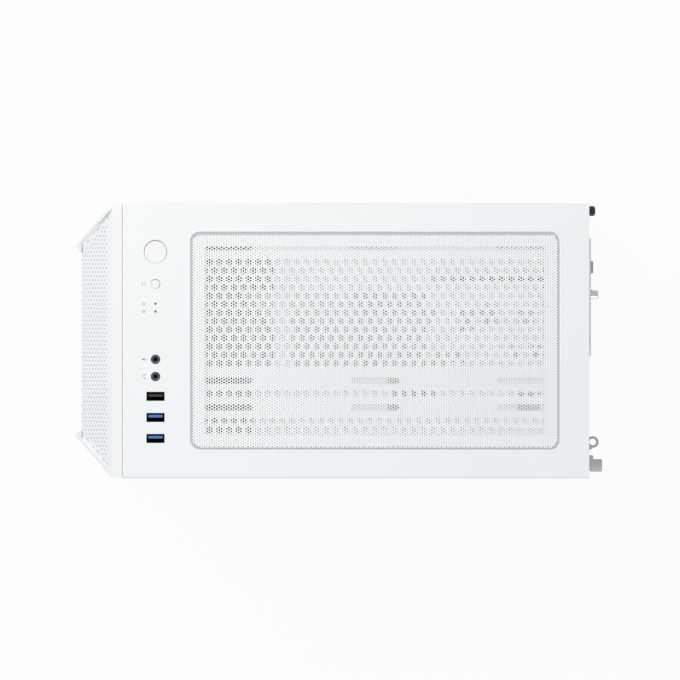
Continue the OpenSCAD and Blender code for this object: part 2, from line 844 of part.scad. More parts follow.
module cooler_heat_pipes() color("silver") placed() {
    block([socket[0] - 24, board_y + 5.5, socket[1] - 22], [socket[0] + 20, board_y + 20, socket[1] + 22]);
    for (i = [0 : 3], s = [-1, 1])
        translate([pipe_xs[i], board_y + 12, socket[1] + s * 18])
            rotate([-90, 0, 0]) cylinder(r = 3, h = fin_y[1] + 2 - board_y - 12, $fn = round_fn);
}

module cooler_fins() color("white") placed() {
    fins = 24;
    step = (fin_y[1] - fin_y[0] - 3) / (fins - 1);
    difference() {
        union() {
            for (i = [0 : fins - 1])
                run_y(fin_y[0] + i * step, fin_y[0] + i * step + 0.6)
                    area([cooler_x[0], cooler_z[0]], [cooler_x[1], cooler_z[1]]);
            // folded edges that tie the fins into one stack
            for (z = [cooler_z[0], cooler_z[1] - 0.8])
                block([cooler_x[0], fin_y[0], z], [cooler_x[1], fin_y[1], z + 0.8]);
            block([cooler_x[0], fin_y[1] - 2.4, cooler_z[0]], [cooler_x[1], fin_y[1], cooler_z[1]]);
        }
        for (x = pipe_xs, s = [-1, 1])
            translate([x, 0, socket[1] + s * 18]) rotate([90, 0, 0])
                cylinder(r = 3, h = 200, center = true, $fn = round_fn);
    }
}

// ---------------------------------------------------------------- fans

// Fan housing along +Z from its intake: two flanges, a ring, and four struts with a bearing
module fan_housing(size, bore, spacing) {
    half = size / 2;
    for (z = [0, fan_depth - 4])
        run_z(z, z + 4)
            difference() {
                round_area([-half, -half], [half, half], 7);
                circle(bore, $fn = 72);
                for (x = [-spacing / 2, spacing / 2], y = [-spacing / 2, spacing / 2])
                    translate([x, y]) circle(2.15, $fn = round_fn);
            }
    run_z(3.5, fan_depth - 3.5)
        difference() {
            circle(half - 0.2, $fn = 72);
            circle(bore, $fn = 72);
        }
    run_z(fan_depth - 3.5, fan_depth)
        difference() {
            union() {
                circle(hub_r);
                for (a = [45 : 90 : 315])
                    rotate(a) area([0, -2.5], [bore + 1, 2.5]);
            }
            circle(axle_r + axle_clearance, $fn = round_fn);
        }
}

// Fan rotor along +Z: a hub, flat blades set at an angle, and an axle
module fan_rotor(tip_r, blades, pitch_angle, low, high, axle_end) {
    chord = (high - low - 3) / cos(pitch_angle);
    root_r = hub_r - 3;
    translate([0, 0, low]) cylinder(r = hub_r - 1, h = high - low);
    translate([0, 0, high - 1]) cylinder(r = axle_r, h = axle_end - high + 1, $fn = round_fn);
    for (i = [0 : blades - 1])
        rotate(i * 360 / blades)
            translate([root_r, 0, (low + high) / 2])
                rotate([pitch_angle, 0, 0])
                    translate([0, -0.8, -chord / 2]) cube([tip_r - 1 - root_r, 1.6, chord]);
}

// Turns a fan that is drawn along +Z so that it blows along +X
module blowing_rearward(x, y, z) {
    translate([x, y, z]) rotate([0, 90, 0]) children();
}

module front_fan_frames() color("white") placed() {
    for (z = front_fan_z)
        blowing_rearward(front_fan_x, 0, z)
            fan_housing(front_fan_size, front_fan_bore, 124.5);
}

module front_fan_rotor(z) {
    blowing_rearward(front_fan_x, 0, z)
        fan_rotor(front_fan_bore - 1.5, 7, 42, 5, fan_depth - 5, fan_depth - 0.5);
}

module front_fan_rotor_1() color("whitesmoke") placed() front_fan_rotor(front_fan_z[0]);
module front_fan_rotor_2() color("whitesmoke") placed() front_fan_rotor(front_fan_z[1]);

module rear_fan_frame() color("white") placed() {
    blowing_rearward(rear_fan_x, rear_fan[0], rear_fan[1])
        fan_housing(small_fan_size, small_fan_bore, 105);
}

module rear_fan_rotor() color("whitesmoke") placed() {
    blowing_rearward(rear_fan_x, rear_fan[0], rear_fan[1])
        fan_rotor(small_fan_bore - 1.5, 7, 42, 5, fan_depth - 5, fan_depth - 0.5);
}

module cooler_fan_frame() color("white") placed() {
    blowing_rearward(cooler_fan_x, 17, socket[1])
        fan_housing(small_fan_size, small_fan_bore, 105);
}

module cooler_fan_rotor() color("whitesmoke") placed() {
    blowing_rearward(cooler_fan_x, 17, socket[1])
        fan_rotor(small_fan_bore - 1.5, 7, 42, 5, fan_depth - 5, fan_depth - 0.5);
}

// ---------------------------------------------------------------- graphics card

module graphics_card_board() color("darkslategray") placed() {
    run_z(card_z, card_z + board_t)
        union() {
            area([card_x[0] + 6, -65], [card_x[1] - 1, card_y[1]]);
            area([252, board_y + 5], [338, -64]);
        }
}

module graphics_card_heatsink() color("silver") placed() {
    low_z = card_low_z + 24;
    difference() {
        union() {
            block([card_x[0] + 8, -60, card_z - 4], [card_x[1] - 14, 36, card_z]);
            for (x = [card_x[0] + 8 : 5 : card_x[1] - 16])
                block([x, -60, low_z], [x + 1, 36, card_z - 3]);
            // bearing posts of the two fans
            for (x = card_fan_x)
                translate([x, card_fan_y, low_z - 4]) cylinder(r = 17, h = 10);
        }
        for (x = card_fan_x)
            translate([x, card_fan_y, low_z - 5])
                cylinder(r = axle_r + axle_clearance, h = 9, $fn = round_fn);
    }
}

module graphics_card_shroud() color("white") placed() {
    low = [card_x[0], card_y[0] + 6];
    high = [card_x[1] - 8, card_y[1] + 1];
    difference() {
        run_z(card_low_z, card_z)
            difference() {
                round_area(low, high, 8);
                round_area(low + [2, 2], high - [2, 2], 6);
            }
        block([150, -90, card_z - 22], [380, -50, card_z - 4]);
    }
    run_z(card_low_z, card_low_z + 2)
        difference() {
            round_area(low, high, 8);
            for (x = card_fan_x)
                translate([x, card_fan_y]) circle(card_fan_r + 1.5, $fn = 72);
            for (x = [345 : 9 : 375])
                translate([x, card_fan_y]) rotate(90) slot(60, 4);
        }
    // backplate
    run_z(card_z + board_t, card_z + board_t + 1.5)
        round_area([card_x[0] + 4, -60], [card_x[1] - 8, high[1]], 6);
}

module graphics_card_bracket() color("silver") placed() {
    low_z = slot_top_z - 2 * slot_pitch - 9;
    high_z = slot_top_z - slot_pitch + 9;
    run_x(rear_x - 1, rear_x)
        difference() {
            area([-74, low_z], [36, high_z]);
            for (y = [-60, -38, -16])
                area([y, high_z - 14], [y + 16, high_z - 8]);
            for (y = [-58 : 6 : 24])
                translate([y, low_z + 12]) rotate(90) slot(14, 3.4);
        }
    block([rear_x - 8, 30, card_z - 6], [rear_x - 1, 36, card_z]);
}

module graphics_fan_rotor(x) {
    translate([x, card_fan_y, card_low_z])
        fan_rotor(card_fan_r, 11, 30, 3.5, 18.5, 26);
}

module graphics_fan_rotor_1() color("whitesmoke") placed() graphics_fan_rotor(card_fan_x[0]);
module graphics_fan_rotor_2() color("whitesmoke") placed() graphics_fan_rotor(card_fan_x[1]);

// ---------------------------------------------------------------- expansion slots and rear trim

module slot_covers() color("white") placed() {
    for (i = [0, 3, 4, 5, 6])
        run_x(rear_x - 1, rear_x)
            difference() {
                area([-74, slot_top_z - i * slot_pitch - 9.2], [36, slot_top_z - i * slot_pitch + 9.2]);
                for (y = [-62 : 9 : 22])
                    translate([y, slot_top_z - i * slot_pitch]) rotate(90) slot(11, 4);
            }
}

module slot_clamp() color("white") placed() {
    low = [31, 116];
    high = [68, 258];
    run_x(402.5, 403.5) area(low, high);
    run_x(wall_out_x, 403.5)
        difference() {
            area(low, high);
            area(low + [1, 1], high - [1, 1]);
        }
}

module slot_clamp_screw() color("silver") placed() {
    translate([0, 59, 236]) thumbscrew(403.9, 409.7, 5, 403.6, 3);
}

module slot_clamp_stud() color("silver") placed() {
    translate([403.5, 37.3, 236]) rotate([0, 90, 0])
        rotate_extrude() {
            area([0, 0], [2.6, case_len - 403.5]);
            area([2.6, 0], [3.85, case_len - 403.5 - 1.25]);
            intersection() {
                translate([2.6, case_len - 403.5 - 1.25]) circle(1.25, $fn = round_fn);
                area([2.6, case_len - 403.5 - 1.25], [4, case_len]);
            }
        }
}

module padlock_loop() color("silver") placed() {
    z = 300;
    difference() {
        run_z(z, z + 2) {
            polygon([
                [401.4, -76], [408, -76], [412, -80.6], [408.5, -84.6], [405, -87.5], [401.4, -91.5],
            ]);
            translate([408, -80.4]) circle(4.6);
        }
        translate([408, -80.4, z - 1]) cylinder(r = 2.6, h = 4, $fn = round_fn);
    }
    run_x(wall_out_x, wall_out_x + 1.2)
        area([-91.5, z - 8], [-76, z + 8]);
}

// ---------------------------------------------------------------- power supply and drives

module power_supply_case() color("white") placed() {
    low = [psu_x[0], psu_y[0], psu_z[0]];
    high = [psu_x[1], psu_y[1], psu_z[1]];
    difference() {
        block(low, high);
        block(low + [sheet, sheet, sheet], high - [sheet, sheet, sheet]);
        translate([psu_fan[0], psu_fan[1], psu_z[0] - 1]) cylinder(r = psu_bore, h = 3, $fn = 72);
        // mains inlet, switch and the cable outlet at the front
        block([rear_x - 2, -66, 68], [rear_x + 1, -36, 92]);
        block([rear_x - 2, -62, 38.5], [rear_x + 1, -40, 55.5]);
        block([psu_x[0] - 1, -60, 60], [psu_x[0] + 2, 0, 84]);
        run_x(rear_x - 2, rear_x + 1) lattice([-26, 32], [66, 102], 9, 4);
    }
    // wire guard over the fan, and the bar that carries its bearing
    for (r = [30, 44])
        translate([psu_fan[0], psu_fan[1], psu_z[0]])
            rotate_extrude($fn = 72) area([r, 0], [r + 1.6, 1]);
    for (a = [45 : 90 : 315])
        translate([psu_fan[0], psu_fan[1], psu_z[0]]) rotate(a)
            block([14, -0.8, 0], [psu_bore + 2, 0.8, 1]);
    translate([psu_fan[0], psu_fan[1], psu_z[0]]) cylinder(r = 16, h = 1);
    difference() {
        union() {
            block([psu_fan[0] - 6, psu_y[0] + sheet, 48], [psu_fan[0] + 6, psu_y[1] - sheet, 50]);
            translate([psu_fan[0], psu_fan[1], 48]) cylinder(r = 16, h = 3);
        }
        translate([psu_fan[0], psu_fan[1], 40])
            cylinder(r = axle_r + axle_clearance, h = 30, $fn = round_fn);
    }
    // lugs that carry the pin of the switch
    for (y = [-64, -40])
        difference() {
            block([rear_x - 5.6, y, 44], [rear_x - 0.5, y + 2, 50]);
            translate([switch_pin[0], y - 1, switch_pin[1]]) rotate([-90, 0, 0])
                cylinder(r = 1.05, h = 4, $fn = round_fn);
        }
}

module psu_fan_rotor() color("black") placed() {
    translate([psu_fan[0], psu_fan[1], psu_z[0]])
        fan_rotor(psu_bore - 3, 7, 36, 3, 20, 26.5);
}

module power_inlet() color("black") placed() {
    x1 = rear_x + 2.4;
    difference() {
        union() {
            block([rear_x - 20, -65.7, 68.3], [rear_x + 0.2, -36.3, 91.7]);
            block([rear_x + 0.2, -67.5, 66.5], [x1, -34.5, 93.5]);
        }
        block([x1 - 17, -63.3, 71.6], [x1 + 1, -38.7, 88.4]);
    }
    for (y = [-58, -44])
        block([x1 - 18, y - 1, 75], [x1 - 5.5, y + 1, 79]);
    block([x1 - 18, -52, 82], [x1 - 5.5, -50, 86]);
}

// Rocker that tips about a pin along Y, resting with its lower end out
module psu_switch() color("black") placed() {
    translate([switch_pin[0], -51, switch_pin[1]]) rotate([90, 0, 0]) {
        linear_extrude(20, center = true)
            polygon([[-2, -4.8], [4.2, -5.6], [3.4, 0], [2.4, 5.4], [-2, 4.8]]);
        cylinder(r = 1, h = 23.6, center = true, $fn = round_fn);
    }
}

module drive_cage() color("white") placed() {
    x = [78, 214];
    y = [-54, 54];
    difference() {
        union() {
            for (side = [y[0] - sheet, y[1]])
                block([x[0], side, floor_z], [x[1], side + sheet, 100]);
            for (z = [floor_z, 58.5, 99])
                block([x[0], y[0], z], [x[1], y[1], z + sheet]);
        }
        // lightening windows
        run_z(50, 120) round_area([x[0] + 16, -36], [x[1] - 16, 36], 8);
        run_y(-60, 60)
            for (bx = [98, 146, 194], bz = [34, 74])
                translate([bx, bz]) circle(1.9, $fn = round_fn);
    }
}

module hard_drive() color("silver") placed() {
    low = [80, -50.8, 22];
    high = [227, 50.8, 48];
    block(low, high - [0, 0, 3]);
    run_z(high[2] - 3, high[2]) round_area([84, -47], [200, 47], 6);
    translate([130, 8, high[2]]) cylinder(r = 30, h = 1);
    // side lugs that reach the cage's walls
    for (x = [98, 146, 194], s = [0, 1])
        mirror([0, s, 0])
            translate([x, 50, 34]) rotate([-90, 0, 0]) cylinder(r = 1.8, h = 6.4, $fn = round_fn);
}

module solid_state_drive() color("dimgray") placed() {
    run_y(tray_y - 7.2, tray_y) round_area([290, 166], [360, 266], 3);
}

// ---------------------------------------------------------------- internal cables

// Tube of radius r along a list of points
module tube(points, r) {
    sides = 8;
    last = len(points) - 1;
    function unit(v) = v / norm(v);
    function heading(i) = unit(points[min(i + 1, last)] - points[max(i - 1, 0)]);
    function side_of(d) = unit(cross(d, abs(d[0]) < 0.8 ? [1, 0, 0] : [0, 1, 0]));
    rings = [
        for (i = [0 : last])
            let (d = heading(i), a = side_of(d), b = cross(d, a))
                for (k = [0 : sides - 1])
                    points[i] + r * (cos(k * 360 / sides) * a + sin(k * 360 / sides) * b)
    ];
    polyhedron(
        points = rings,
        faces = concat(
            [[for (k = [0 : sides - 1]) k]],
            [[for (k = [sides - 1 : -1 : 0]) last * sides + k]],
            [
                for (i = [0 : last - 1], k = [0 : sides - 1])
                    [i * sides + k, (i + 1) * sides + k, (i + 1) * sides + (k + 1) % sides,
                     i * sides + (k + 1) % sides]
            ]
        )
    );
}

main_cable = [
    [262, -20, 72], [246, -30, 72], [238, -50, 74], [236, -74, 76], [235, -90, 84],
    [228, -95, 104], [205, -96, 150], [170, -96, 220], [140, -94, 300], [131, -89, 332],
    [131, -76, 338], [140, -68, 340], [154.8, -68.2, 340],
];
front_cable = [
    [63, 4, 431.4], [63, 2, 424], [70, -10, 416], [82, -40, 400], [88, -66, 370],
    [90, -76, 300], [90, -78, 220], [100, -78, 160], [130, -76, 142], [160, -70, 136],
    [174.6, -71.5, 133],
];

module internal_cables() color("whitesmoke") placed() {
    tube(main_cable, 4);
    tube(front_cable, 2.2);
}

base_pan();
rear_wall();
motherboard_tray();
front_bracket();
top_cover();
psu_shroud();
feet();
rubber_pads();
front_frame();
front_mesh();
top_filter_frame();
top_filter_mesh();
psu_filter();
window_glass();
window_frame();
window_screw_upper();
window_screw_lower();
tray_panel();
tray_panel_screw_upper();
tray_panel_screw_lower();
io_board();
power_button();
reset_button();
led_light_pipes();
audio_jacks();
usb2_port();
usb3_ports();
motherboard();
board_standoffs();
board_heatsinks();
rear_port_block();
memory_modules();
cooler_heat_pipes();
cooler_fins();
cooler_fan_frame();
cooler_fan_rotor();
graphics_card_board();
graphics_card_heatsink();
graphics_card_shroud();
graphics_card_bracket();
graphics_fan_rotor_1();
graphics_fan_rotor_2();
slot_covers();
slot_clamp();
slot_clamp_screw();
slot_clamp_stud();
power_supply_case();
psu_fan_rotor();
power_inlet();
psu_switch();
drive_cage();
hard_drive();
solid_state_drive();
front_fan_frames();
front_fan_rotor_1();
front_fan_rotor_2();
rear_fan_frame();
rear_fan_rotor();
padlock_loop();
internal_cables();
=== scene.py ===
"""Looks of a white desktop computer tower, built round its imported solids.

Lengths are in metres, in the frame of the solids: +X is the rear, +Y the window side, +Z up.
"""

from __future__ import annotations

import json
import logging
import math
import random
from dataclasses import dataclass
from enum import Enum
from typing import Callable, Iterable, Optional, Sequence, Union

import bmesh
import bpy
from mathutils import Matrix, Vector
from mathutils.geometry import tessellate_polygon

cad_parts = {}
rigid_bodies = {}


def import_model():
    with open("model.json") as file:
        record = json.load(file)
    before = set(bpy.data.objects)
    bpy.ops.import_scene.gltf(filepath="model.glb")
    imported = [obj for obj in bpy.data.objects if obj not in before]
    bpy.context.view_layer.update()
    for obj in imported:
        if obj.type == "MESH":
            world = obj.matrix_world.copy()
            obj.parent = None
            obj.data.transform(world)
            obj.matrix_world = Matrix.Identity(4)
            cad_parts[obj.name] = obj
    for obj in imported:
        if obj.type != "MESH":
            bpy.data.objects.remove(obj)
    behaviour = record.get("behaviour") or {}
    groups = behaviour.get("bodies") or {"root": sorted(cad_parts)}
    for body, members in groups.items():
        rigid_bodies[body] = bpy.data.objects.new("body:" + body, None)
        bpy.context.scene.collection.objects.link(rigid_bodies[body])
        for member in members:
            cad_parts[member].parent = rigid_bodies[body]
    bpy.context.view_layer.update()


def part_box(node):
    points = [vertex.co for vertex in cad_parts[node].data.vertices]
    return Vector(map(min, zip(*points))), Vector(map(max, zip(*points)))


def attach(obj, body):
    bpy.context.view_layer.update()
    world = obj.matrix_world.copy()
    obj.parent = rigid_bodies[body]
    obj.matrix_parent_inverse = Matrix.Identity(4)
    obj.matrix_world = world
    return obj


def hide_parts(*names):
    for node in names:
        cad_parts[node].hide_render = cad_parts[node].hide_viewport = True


LOG = logging.getLogger("tower")
MM = 0.001
Point2 = tuple[float, float]
Colour = tuple[float, float, float]
Operand = Union["Signal", float]


# ------------------------------------------------------------------ shader expressions


def operator(
    operation: str, reflected: bool = False
) -> Callable[[Signal, Operand], Signal]:
    """Makes a method for one of Python's operators.

    Args:
        operation: Operation of the Math node that the method adds.
        reflected: Whether the other number comes first, as in 1 - mask.

    Returns:
        The method, for Signal.
    """

    def method(self: Signal, other: Operand) -> Signal:
        """Adds the node for this number and the other."""
        operands = (other, self) if reflected else (self, other)
        return self.combine(operation, *operands)

    return method


class Signal:
    """A number that varies over a surface, on which Python's operators work."""

    def __init__(self, graph: Graph, socket: bpy.types.NodeSocket) -> None:
        """Wraps a socket.

        Args:
            graph: The node tree that the socket is in.
            socket: The output that carries the number.
        """
        self.graph = graph
        self.socket = socket

    def combine(self, operation: str, *operands: Operand) -> Signal:
        """Adds a Math node.

        Args:
            operation: The node's operation.
            operands: Its inputs in order.

        Returns:
            The node's result.
        """
        inputs = dict(enumerate(operands))
        return self.graph.signal("ShaderNodeMath", {"operation": operation}, inputs)

    __add__ = __radd__ = operator("ADD")
    __mul__ = __rmul__ = operator("MULTIPLY")
    __sub__ = operator("SUBTRACT")
    __rsub__ = operator("SUBTRACT", reflected=True)
    __truediv__ = operator("DIVIDE")
    __rtruediv__ = operator("DIVIDE", reflected=True)
    __mod__ = operator("FLOORED_MODULO")
    __rmod__ = operator("FLOORED_MODULO", reflected=True)
    __lt__ = operator("LESS_THAN")
    __gt__ = operator("GREATER_THAN")

    def __abs__(self) -> Signal:
        """Distance from 0."""
        return self.combine("ABSOLUTE", self)

    def positive(self) -> Signal:
        """The number, or 0 where it is negative."""
        return self.combine("MAXIMUM", self, 0.0)

    def sine(self) -> Signal:
        """Sine of an angle in radians."""
        return self.combine("SINE", self)

    def step(self, low: float, high: float) -> Signal:
        """A smooth rise from 0 to 1.

        Args:
            low: Where the rise starts.
            high: Where it ends.

        Returns:
            The rise as a signal.
        """
        settings = {"interpolation_type": "SMOOTHSTEP"}
        inputs = {"Value": self, "From Min": low, "From Max": high}
        return self.graph.signal("ShaderNodeMapRange", settings, inputs)


class Graph:
    """The node tree of one material or of the world."""

    def __init__(self, owner: Union[bpy.types.Material, bpy.types.World]) -> None:
        """Starts with an empty tree.

        Args:
            owner: The material or world that the tree belongs to.
        """
        self.owner = owner
        self.owner.use_nodes = True
        self.tree = self.owner.node_tree
        self.tree.nodes.clear()

    def node(
        self,
        kind: str,
        settings: Optional[dict[str, object]] = None,
        inputs: Optional[dict[Union[str, int], object]] = None,
    ) -> bpy.types.Node:
        """Adds a node.

        Args:
            kind: The node's type.
            settings: Properties of the node, set before its sockets.
            inputs: Values or links of its sockets, by name or by number.

        Returns:
            The new node.
        """
        made = self.tree.nodes.new(kind)
        for key, value in (settings or {}).items():
            setattr(made, key, value)
        for key, value in (inputs or {}).items():
            if isinstance(key, int):
                socket = made.inputs[key]
            else:
                socket = next(s for s in made.inputs if s.name == key and s.enabled)
            if isinstance(value, Signal):
                value = value.socket
            if isinstance(value, bpy.types.NodeSocket):
                self.tree.links.new(value, socket)
            else:
                socket.default_value = value
        return made

    def output(self, *args: object, name: Optional[str] = None) -> bpy.types.NodeSocket:
        """Adds a node and gives one of its outputs.

        Args:
            args: What node() takes.
            name: The output's name, or None for the first one in use.

        Returns:
            The output socket.
        """
        made = self.node(*args)
        return next(s for s in made.outputs if s.enabled and name in (None, s.name))

    def signal(self, *args: object, name: Optional[str] = None) -> Signal:
        """Adds a node and wraps one of its outputs.

        Args:
            args: What node() takes.
            name: The output's name, or None for the first one in use.

        Returns:
            The output as a signal.
        """
        return Signal(self, self.output(*args, name=name))

    def place(self, stretch: Sequence[float] = (1, 1, 1)) -> bpy.types.NodeSocket:
        """Position on the piece at rest.

        Args:
            stretch: Factors for the three axes.

        Returns:
            The position as a vector socket.
        """
        where = self.output("ShaderNodeTexCoord", name="Object")
        if tuple(stretch) == (1, 1, 1):
            return where
        settings = {"operation": "MULTIPLY"}
        return self.output("ShaderNodeVectorMath", settings, {0: where, 1: stretch})

    def axes(self) -> list[Signal]:
        """The three coordinates of the position."""
        split = self.node("ShaderNodeSeparateXYZ", {}, {0: self.place()})
        return [Signal(self, socket) for socket in split.outputs]

    def noise(
        self, size: float, detail: float = 2.0, stretch: Sequence[float] = (1, 1, 1)
    ) -> Signal:
        """Random variation.

        Args:
            size: Distance over which it changes.
            detail: Number of finer layers.
            stretch: Factors for the three axes.

        Returns:
            A signal from 0 to 1.
        """
        inputs = {"Vector": self.place(stretch), "Scale": 1 / size, "Detail": detail}
        return self.signal("ShaderNodeTexNoise", {}, inputs)

    def mix(self, factor: Operand, low: object, high: object) -> bpy.types.NodeSocket:
        """Blends two colours.

        Args:
            factor: 0 for the first colour, 1 for the second.
            low: The first colour, or a colour socket.
            high: The second colour, or a colour socket.

        Returns:
            The colour socket.
        """
        ends = [(*c, 1.0) if isinstance(c, tuple) else c for c in (low, high)]
        inputs = {"Factor": factor, "A": ends[0], "B": ends[1]}
        return self.output("ShaderNodeMix", {"data_type": "RGBA"}, inputs)

    def bump(self, height: Signal, depth: float) -> bpy.types.NodeSocket:
        """Relief.

        Args:
            height: Signal from 0 to 1.
            depth: Height of the relief in metres.

        Returns:
            The normal socket.
        """
        inputs = {"Strength": 1.0, "Distance": depth, "Height": height}
        return self.output("ShaderNodeBump", {}, inputs)

    def finish(self, **inputs: object) -> bpy.types.Material:
        """Ends the tree in a Principled shader.

        Args:
            inputs: The shader's sockets, with _ for a space in a name.

        Returns:
            The finished material.
        """
        named = {key.replace("_", " "): value for key, value in inputs.items()}
        for key, value in named.items():
            if isinstance(value, tuple) and len(value) == 3:
                named[key] = (*value, 1.0)
        shader = self.output("ShaderNodeBsdfPrincipled", {}, named)
        self.node("ShaderNodeOutputMaterial", {}, {"Surface": shader})
        return self.owner


# ------------------------------------------------------------------ finishes


@dataclass(frozen=True)
class Finish:
    """A surface finish: its name, the record's slot that it belongs to, and its colour."""

    name: str
    slot: str
    colour: Colour
    roughness: float = 0.5

    def material(self) -> bpy.types.Material:
        """The finish's material, made when it is first asked for."""
        known = bpy.data.materials.get(self.name)
        return known or self.shade(Graph(bpy.data.materials.new(self.name)))

    def shade(self, graph: Graph) -> bpy.types.Material:
        """Makes the material in an empty graph."""
        raise NotImplementedError

    def tinted(self, share: float) -> Colour:
        """The colour made darker, or lighter where the share is above 1."""
        return tuple(min(1.0, channel * share) for channel in self.colour)

    def varied(self, graph: Graph, where: Signal, share: float) -> bpy.types.NodeSocket:
        """The colour, darker by a share where the signal is 0 and lighter where it is 1."""
        return graph.mix(where, self.tinted(1 - share), self.tinted(1 + share))


@dataclass(frozen=True)
class Coating(Finish):
    """Powder coat or moulded plastic: a fine grain over slow, faint mottling.

    Attributes:
        grain: Size of the grain in millimetres.
        relief: Height of the grain in millimetres.
        mottle: Share by which the colour varies.
        coat: Weight of a clear coat.
        patch: Size of the mottling's patches in millimetres.
    """

    grain: float = 0.7
    relief: float = 0.03
    mottle: float = 0.02
    coat: float = 0.0
    patch: float = 60.0

    def shade(self, graph: Graph) -> bpy.types.Material:
        """Makes the material in an empty graph."""
        fine = graph.noise(self.grain * MM, 3.0)
        return graph.finish(
            Base_Color=self.varied(graph, graph.noise(self.patch * MM), self.mottle),
            Roughness=self.roughness + (fine - 0.5) * 0.16,
            Coat_Weight=self.coat,
            Coat_Roughness=0.08,
            Normal=graph.bump(fine, self.relief * MM),
        )


@dataclass(frozen=True)
class Metal(Finish):
    """Bare or plated metal with fine marks that run one way."""

    marks: tuple[float, float, float] = (1, 1, 1)
    spacing: float = 0.5 * MM
    contrast: float = 0.12

    def shade(self, graph: Graph) -> bpy.types.Material:
        """Makes the material in an empty graph."""
        lines = graph.noise(self.spacing, 3.0, self.marks)
        smears = graph.noise(14 * MM)
        return graph.finish(
            Base_Color=self.varied(graph, lines, self.contrast),
            Metallic=1.0,
            Roughness=self.roughness + (lines - 0.5) * self.contrast + (smears - 0.5) * 0.08,
            Normal=graph.bump(lines, 0.01 * MM),
        )


@dataclass(frozen=True)
class Glazing(Finish):
    """Clear tempered glass with a border printed on its back."""

    border: Colour = (0.90, 0.91, 0.92)
    low: Point2 = (0.0, 0.0)
    high: Point2 = (1.0, 1.0)
    corner: float = 6 * MM
    clear: float = 0.3

    def shade(self, graph: Graph) -> bpy.types.Material:
        """Makes the material in an empty graph."""
        x, _, z = graph.axes()
        outside = self.past(x, 0) + self.past(z, 1)
        print_mask = outside.step(self.corner, self.corner + 0.3 * MM)
        dust = graph.noise(45 * MM, 4.0)
        return graph.finish(
            Base_Color=graph.mix(print_mask, self.colour, self.border),
            Roughness=self.roughness + dust * 0.03,
            Alpha=print_mask * (1 - self.clear) + self.clear + dust * 0.02,
            Coat_Weight=1.0,
            Coat_Roughness=0.02,
        )

    def past(self, axis: Signal, index: int) -> Signal:
        """How far a point is past the clear pane along one axis, measured from its corners."""
        middle = (self.low[index] + self.high[index]) / 2
        half = (self.high[index] - self.low[index]) / 2 - self.corner
        return (abs(axis - middle) - half).positive()


@dataclass(frozen=True)
class Gauze(Finish):
    """Thin filter cloth, through which a little light passes."""

    thread: float = 0.6 * MM
    cover: float = 0.8

    def shade(self, graph: Graph) -> bpy.types.Material:
        """Makes the material in an empty graph."""
        _, y, z = graph.axes()
        turn = 2 * math.pi / self.thread
        weave = (y * turn).sine() * (z * turn).sine() * 0.5 + 0.5
        return graph.finish(
            Base_Color=graph.mix(weave, self.tinted(0.92), self.colour),
            Roughness=self.roughness,
            Alpha=self.cover + (weave - 0.5) * 0.2,
            Normal=graph.bump(weave, 0.05 * MM),
        )


@dataclass(frozen=True)
class Laminate(Finish):
    """Solder mask over copper tracks in bundles, with plated vias."""

    tracks: Colour = (0.09, 0.095, 0.10)
    plating: Colour = (0.5, 0.38, 0.16)
    pitch: float = 1.3 * MM
    flat_axis: int = 1

    def shade(self, graph: Graph) -> bpy.types.Material:
        """Makes the material in an empty graph."""
        axes = [axis for i, axis in enumerate(graph.axes()) if i != self.flat_axis]
        zones = graph.noise(26 * MM, 0.0)
        runs = [(axis / self.pitch % 1.0) < 0.36 for axis in axes]
        bundle = runs[0] * (zones > 0.54) + runs[1] * (zones < 0.43)
        cells = {"Vector": graph.place(), "Scale": 1 / (5 * MM)}
        vias = graph.signal("ShaderNodeTexVoronoi", {}, cells, name="Distance") < 0.07
        masked = graph.mix(bundle, self.colour, self.tracks)
        return graph.finish(
            Base_Color=graph.mix(vias, masked, self.plating),
            Roughness=self.roughness + zones * 0.1,
            Metallic=vias * 0.8,
            Normal=graph.bump(bundle, 0.03 * MM),
        )


@dataclass(frozen=True)
class Braid(Finish):
    """Sleeve woven from threads that cross along the cable."""

    thread: float = 0.9 * MM

    def shade(self, graph: Graph) -> bpy.types.Material:
        """Makes the material in an empty graph."""
        x, y, z = graph.axes()
        turn = 2 * math.pi / self.thread
        weave = ((x + y + z) * turn).sine() * ((x - y - z) * turn).sine() * 0.5 + 0.5
        return graph.finish(
            Base_Color=graph.mix(weave, self.tinted(0.72), self.colour),
            Roughness=self.roughness,
            Normal=graph.bump(weave, 0.12 * MM),
        )


